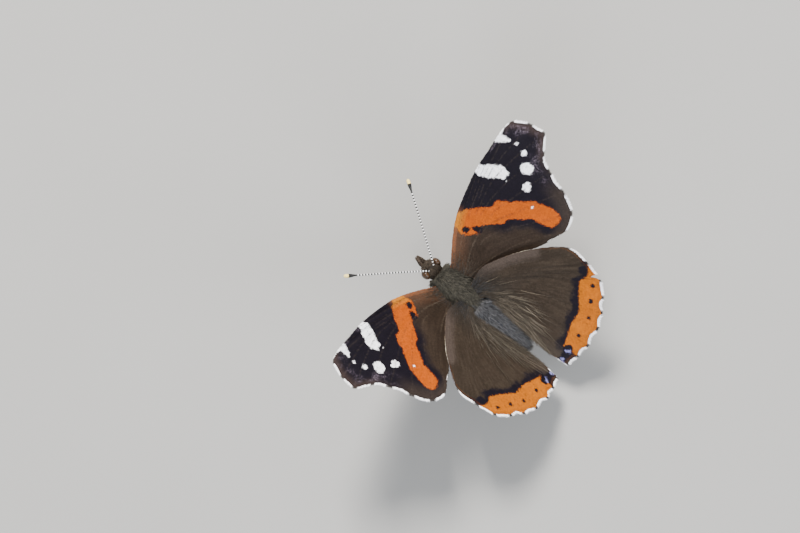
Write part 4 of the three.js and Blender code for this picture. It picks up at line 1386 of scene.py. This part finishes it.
# Legs: height of the trunk's zero point, joints outwards, back and up, and the radii along them
TRUNK_HEIGHT = 7.4
LEG_LINES = {
    "leg_mid": ((1.0, -0.6, 5.6), (4.6, -1.6, 6.3), (6.6, -2.5, 1.2), (7.6, -2.9, 0.14), (9.4, -3.6, 0.14)),
    "leg_hind": ((1.0, 1.4, 5.4), (4.2, 5.2, 6.0), (5.8, 7.8, 1.2), (6.4, 8.9, 0.14), (7.4, 10.6, 0.14)),
    "leg_fore": ((0.9, -2.8, 6.2), (1.25, -4.9, 4.6), (1.15, -3.4, 3.6), (1.1, -2.5, 3.3)),
}
LONG_LEG = ((0, 0.12, 0.24, 0.27, 0.48, 0.52, 0.74, 0.78, 1), (0.3, 0.38, 0.26, 0.22, 0.17, 0.15, 0.13, 0.13, 0.09))
SHORT_LEG = ((0, 0.3, 0.6, 1), (0.26, 0.3, 0.2, 0.12))
LEG_HAIRS = 500
FOOT_HEIGHT = 0.6


def leg_path(line, side):
    """A jointed leg's middle line in metres, with short bends at its joints."""
    line = np.array(line) * [side, 1, 1]
    along = np.linspace(0.04, 0.96, 40)[:, None]
    path = np.concatenate([start + (end - start) * along for start, end in zip(line[:-1], line[1:])])
    return (path - [0.0, 0.0, TRUNK_HEIGHT]) * MM + ORIGIN


def leg_coat(name, path, radii, draw, material):
    """Short hairs all round a leg, lifted off the floor at the foot."""
    share = np.linspace(0, 1, len(path))
    at = draw.uniform(0.02, 0.98, LEG_HAIRS)
    low = (at * (len(path) - 1)).astype(int)
    centre = path[low]
    ahead = unit(path[np.minimum(low + 1, len(path) - 1)] - path[np.maximum(low - 1, 0)])
    spread = draw.normal(0, 1, ahead.shape)
    normal = unit(spread - ahead * (spread * ahead).sum(axis=1)[:, None])
    foot = centre[:, 2] < FOOT_HEIGHT * MM
    normal[:, 2] = np.where(foot, np.abs(normal[:, 2]), normal[:, 2])
    root = centre + normal * np.interp(at, share, radii)[:, None] * 0.9
    lie = ahead + normal * 0.35
    lie[:, 2] = np.where(foot, np.maximum(lie[:, 2], 0.0), lie[:, 2])
    unwrap = np.stack([np.arctan2(normal[:, 2], normal[:, 0]) / (2 * math.pi) + 0.5, at], axis=1)
    lengths = draw.uniform(0.2, 0.4, LEG_HAIRS) * MM
    tufts(
        name, root, lie, normal, lengths, np.full(LEG_HAIRS, 0.022 * MM), unwrap,
        {"tone": draw.uniform(0, 1, LEG_HAIRS)}, material)


def make_legs():
    """Four walking legs, and the two short forelegs under the head."""
    paint = Paint("leg_scales", roughness=0.6, specular=0.3)
    shade = paint.mix(paint.noise(2500.0, 3.0), (0.02, 0.016, 0.013), (0.14, 0.11, 0.08))
    material = paint.finish(paint.powder(shade, 7000.0, 0.5, relief=0.00002, strength=0.6))
    draw = np.random.default_rng(41)
    for leg, line in LEG_LINES.items():
        for name, side in SIDES:
            path = leg_path(line, side)
            shares, girths = SHORT_LEG if leg == "leg_fore" else LONG_LEG
            radii = np.interp(np.linspace(0, 1, len(path)), shares, girths) * MM
            limb = leg.replace("_", "") + "_limb_" + name
            piece = rod_piece(limb, path, radii, 14, material, world=True)
            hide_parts(leg + "_" + name)
            leg_coat("coat_" + leg + "_" + name, path, radii, draw, material)


# Lamps: place in metres, share of the main power, size in metres, colour
LAMPS = {
    "key": ((-0.22, -0.30, 0.55), 1.0, 0.18, (1.0, 0.96, 0.9)),
    "fill": ((0.45, 0.30, 0.40), 0.35, 0.4, (0.9, 0.95, 1.0)),
    "back": ((0.05, 0.55, 0.30), 0.3, 0.3, (1.0, 1.0, 1.0)),
}
LAMP_AIM = Vector((0, 0, 0.015))
FLOOR_HALF = 1.5


def make_floor():
    """A pale paper floor."""
    shape = bmesh.new()
    bmesh.ops.create_grid(shape, x_segments=1, y_segments=1, size=FLOOR_HALF)
    mesh = mesh_from("floor", shape)
    floor = bpy.data.objects.new("floor", mesh)
    bpy.context.scene.collection.objects.link(floor)
    paint = Paint("floor_paper", roughness=0.9, specular=0.1)
    tone = paint.over(tuple(settings().stage.floor), paint.noise(30.0, 3.0), (0.34, 0.34, 0.34), 0.25)
    mesh.materials.append(paint.finish(tone))


def make_lights():
    """Soft daylight from the room and three soft lamps."""
    world = bpy.data.worlds.new("soft_room")
    world.use_nodes = True
    world.node_tree.nodes["Background"].inputs["Color"].default_value = (0.92, 0.95, 1.0, 1.0)
    world.node_tree.nodes["Background"].inputs["Strength"].default_value = 0.7
    bpy.context.scene.world = world
    for name, (place, share, size, tint) in LAMPS.items():
        lamp = bpy.data.lights.new(name, "AREA")
        lamp.energy, lamp.size, lamp.color = settings().stage.light * share, size, tint
        light = bpy.data.objects.new(name, lamp)
        light.location = place
        light.rotation_euler = (LAMP_AIM - Vector(place)).to_track_quat("-Z", "Y").to_euler()
        bpy.context.scene.collection.objects.link(light)


def aim_camera():
    """Looks down on the thorax from the photograph's angle, nearly square to the wings."""
    towards = np.array([math.sin(SIDE_TILT), 0.0, math.cos(SIDE_TILT)])
    flank = np.array([-math.cos(SIDE_TILT), 0.0, math.sin(SIDE_TILT)])
    tail = np.array([0.0, 1.0, 0.0])
    right = math.cos(TAIL_ANGLE) * tail + math.sin(TAIL_ANGLE) * flank
    up = -math.sin(TAIL_ANGLE) * tail + math.cos(TAIL_ANGLE) * flank
    shift_right = (IMAGE_WIDTH / 2 - THORAX_PIXEL[0]) / PIXELS_PER_MM
    shift_up = (THORAX_PIXEL[1] - IMAGE_HEIGHT / 2) / PIXELS_PER_MM
    aim = to_world(right * shift_right + up * shift_up + towards * AIM_HEIGHT)
    towards, right, up = TURN @ towards, TURN @ right, TURN @ up
    camera = bpy.data.cameras.new("camera")
    camera.sensor_width = SENSOR_WIDTH
    camera.lens = SENSOR_WIDTH * CAMERA_DISTANCE / (IMAGE_WIDTH / PIXELS_PER_MM * MM)
    camera.clip_start = 0.01
    view = bpy.data.objects.new("camera", camera)
    turn = Matrix((right, up, towards)).transposed().to_4x4()
    view.matrix_world = Matrix.Translation(Vector(aim + towards * CAMERA_DISTANCE)) @ turn
    bpy.context.scene.collection.objects.link(view)
    bpy.context.scene.camera = view


class AdmiralOperator(bpy.types.Operator):
    bl_options = {"REGISTER", "UNDO"}


class RED_ADMIRAL_OT_stage(AdmiralOperator):
    """Sets the floor, the lights and the camera"""

    bl_idname = "red_admiral.stage"
    bl_label = "Stage"

    def execute(self, context):
        make_floor()
        make_lights()
        aim_camera()
        return {"FINISHED"}


class RED_ADMIRAL_OT_wings(AdmiralOperator):
    """Builds the four wing sheets with their veins and markings"""

    bl_idname = "red_admiral.wings"
    bl_label = "Wings"

    def execute(self, context):
        make_grain_group()
        make_wings()
        fore = wing_material("forewing_powder", False)
        hind = wing_material("hindwing_powder", True)
        for name, wing in WINGS.items():
            material = fore if name.startswith("fore") else hind
            wing_sheet(name + "_sheet", wing, material)
        return {"FINISHED"}


class RED_ADMIRAL_OT_scales(AdmiralOperator):
    """Covers both faces of each wing with rows of small scales, and the margin with a fringe"""

    bl_idname = "red_admiral.scales"
    bl_label = "Wing Scales and Fringe"

    def execute(self, context):
        fringe = hair_material(
            "fringe", (0.02, 0.016, 0.015), (0.03, 0.024, 0.022), (0.03, 0.025, 0.02), pale=(0.93, 0.92, 0.94))
        for seed, (name, wing) in enumerate(WINGS.items()):
            pair = name.split("_")[0]
            material = bpy.data.materials[pair + "_powder"]
            wing_scales(name + "_scales_above", wing, False, material, 100 + seed)
            wing_scales(name + "_scales_below", wing, True, material, 200 + seed)
            wing_fringe(name + "_fringe", wing, fringe, 300 + seed)
        return {"FINISHED"}


class RED_ADMIRAL_OT_body(AdmiralOperator):
    """Builds the skin of the head, thorax and abdomen, and the eyes"""

    bl_idname = "red_admiral.body"
    bl_label = "Body and Eyes"

    def execute(self, context):
        body_skin()
        make_eyes()
        return {"FINISHED"}


class RED_ADMIRAL_OT_head_parts(AdmiralOperator):
    """Builds the antennae, palps and coiled tongue"""

    bl_idname = "red_admiral.head_parts"
    bl_label = "Antennae and Mouthparts"

    def execute(self, context):
        make_antennae()
        make_palps()
        make_proboscis()
        return {"FINISHED"}


class RED_ADMIRAL_OT_legs(AdmiralOperator):
    """Builds the six legs with their short hairs"""

    bl_idname = "red_admiral.legs"
    bl_label = "Legs"

    def execute(self, context):
        make_legs()
        return {"FINISHED"}


class RED_ADMIRAL_OT_coat(AdmiralOperator):
    """Lays hair over the body and the roots of the wings"""

    bl_idname = "red_admiral.coat"
    bl_label = "Hair"

    def execute(self, context):
        body_coat()
        wing_coats()
        return {"FINISHED"}


STEPS = (
    RED_ADMIRAL_OT_stage,
    RED_ADMIRAL_OT_wings,
    RED_ADMIRAL_OT_scales,
    RED_ADMIRAL_OT_body,
    RED_ADMIRAL_OT_head_parts,
    RED_ADMIRAL_OT_legs,
    RED_ADMIRAL_OT_coat,
)


class RED_ADMIRAL_PT_panel(bpy.types.Panel):
    """Lists the pieces and their settings"""

    bl_label = "Red Admiral"
    bl_idname = "RED_ADMIRAL_PT_panel"
    bl_space_type = "VIEW_3D"
    bl_region_type = "UI"
    bl_category = "Red Admiral"

    def draw(self, context):
        for step in STEPS:
            self.layout.operator(step.bl_idname)
        choice = context.scene.red_admiral
        for group in (choice.wings, choice.coat, choice.stage):
            box = self.layout.box()
            for name in group.__annotations__:
                box.prop(group, name)


CLASSES = (WingSettings, CoatSettings, StageSettings, AdmiralSettings, *STEPS, RED_ADMIRAL_PT_panel)


def register():
    for item in CLASSES:
        bpy.utils.register_class(item)
    bpy.types.Scene.red_admiral = PointerProperty(type=AdmiralSettings)


def unregister():
    del bpy.types.Scene.red_admiral
    for item in reversed(CLASSES):
        bpy.utils.unregister_class(item)


def main():
    """Builds the whole scene."""
    register()
    for step in STEPS:
        group, name = step.bl_idname.split(".")
        getattr(getattr(bpy.ops, group), name)()


if __name__ == "__main__":
    main()
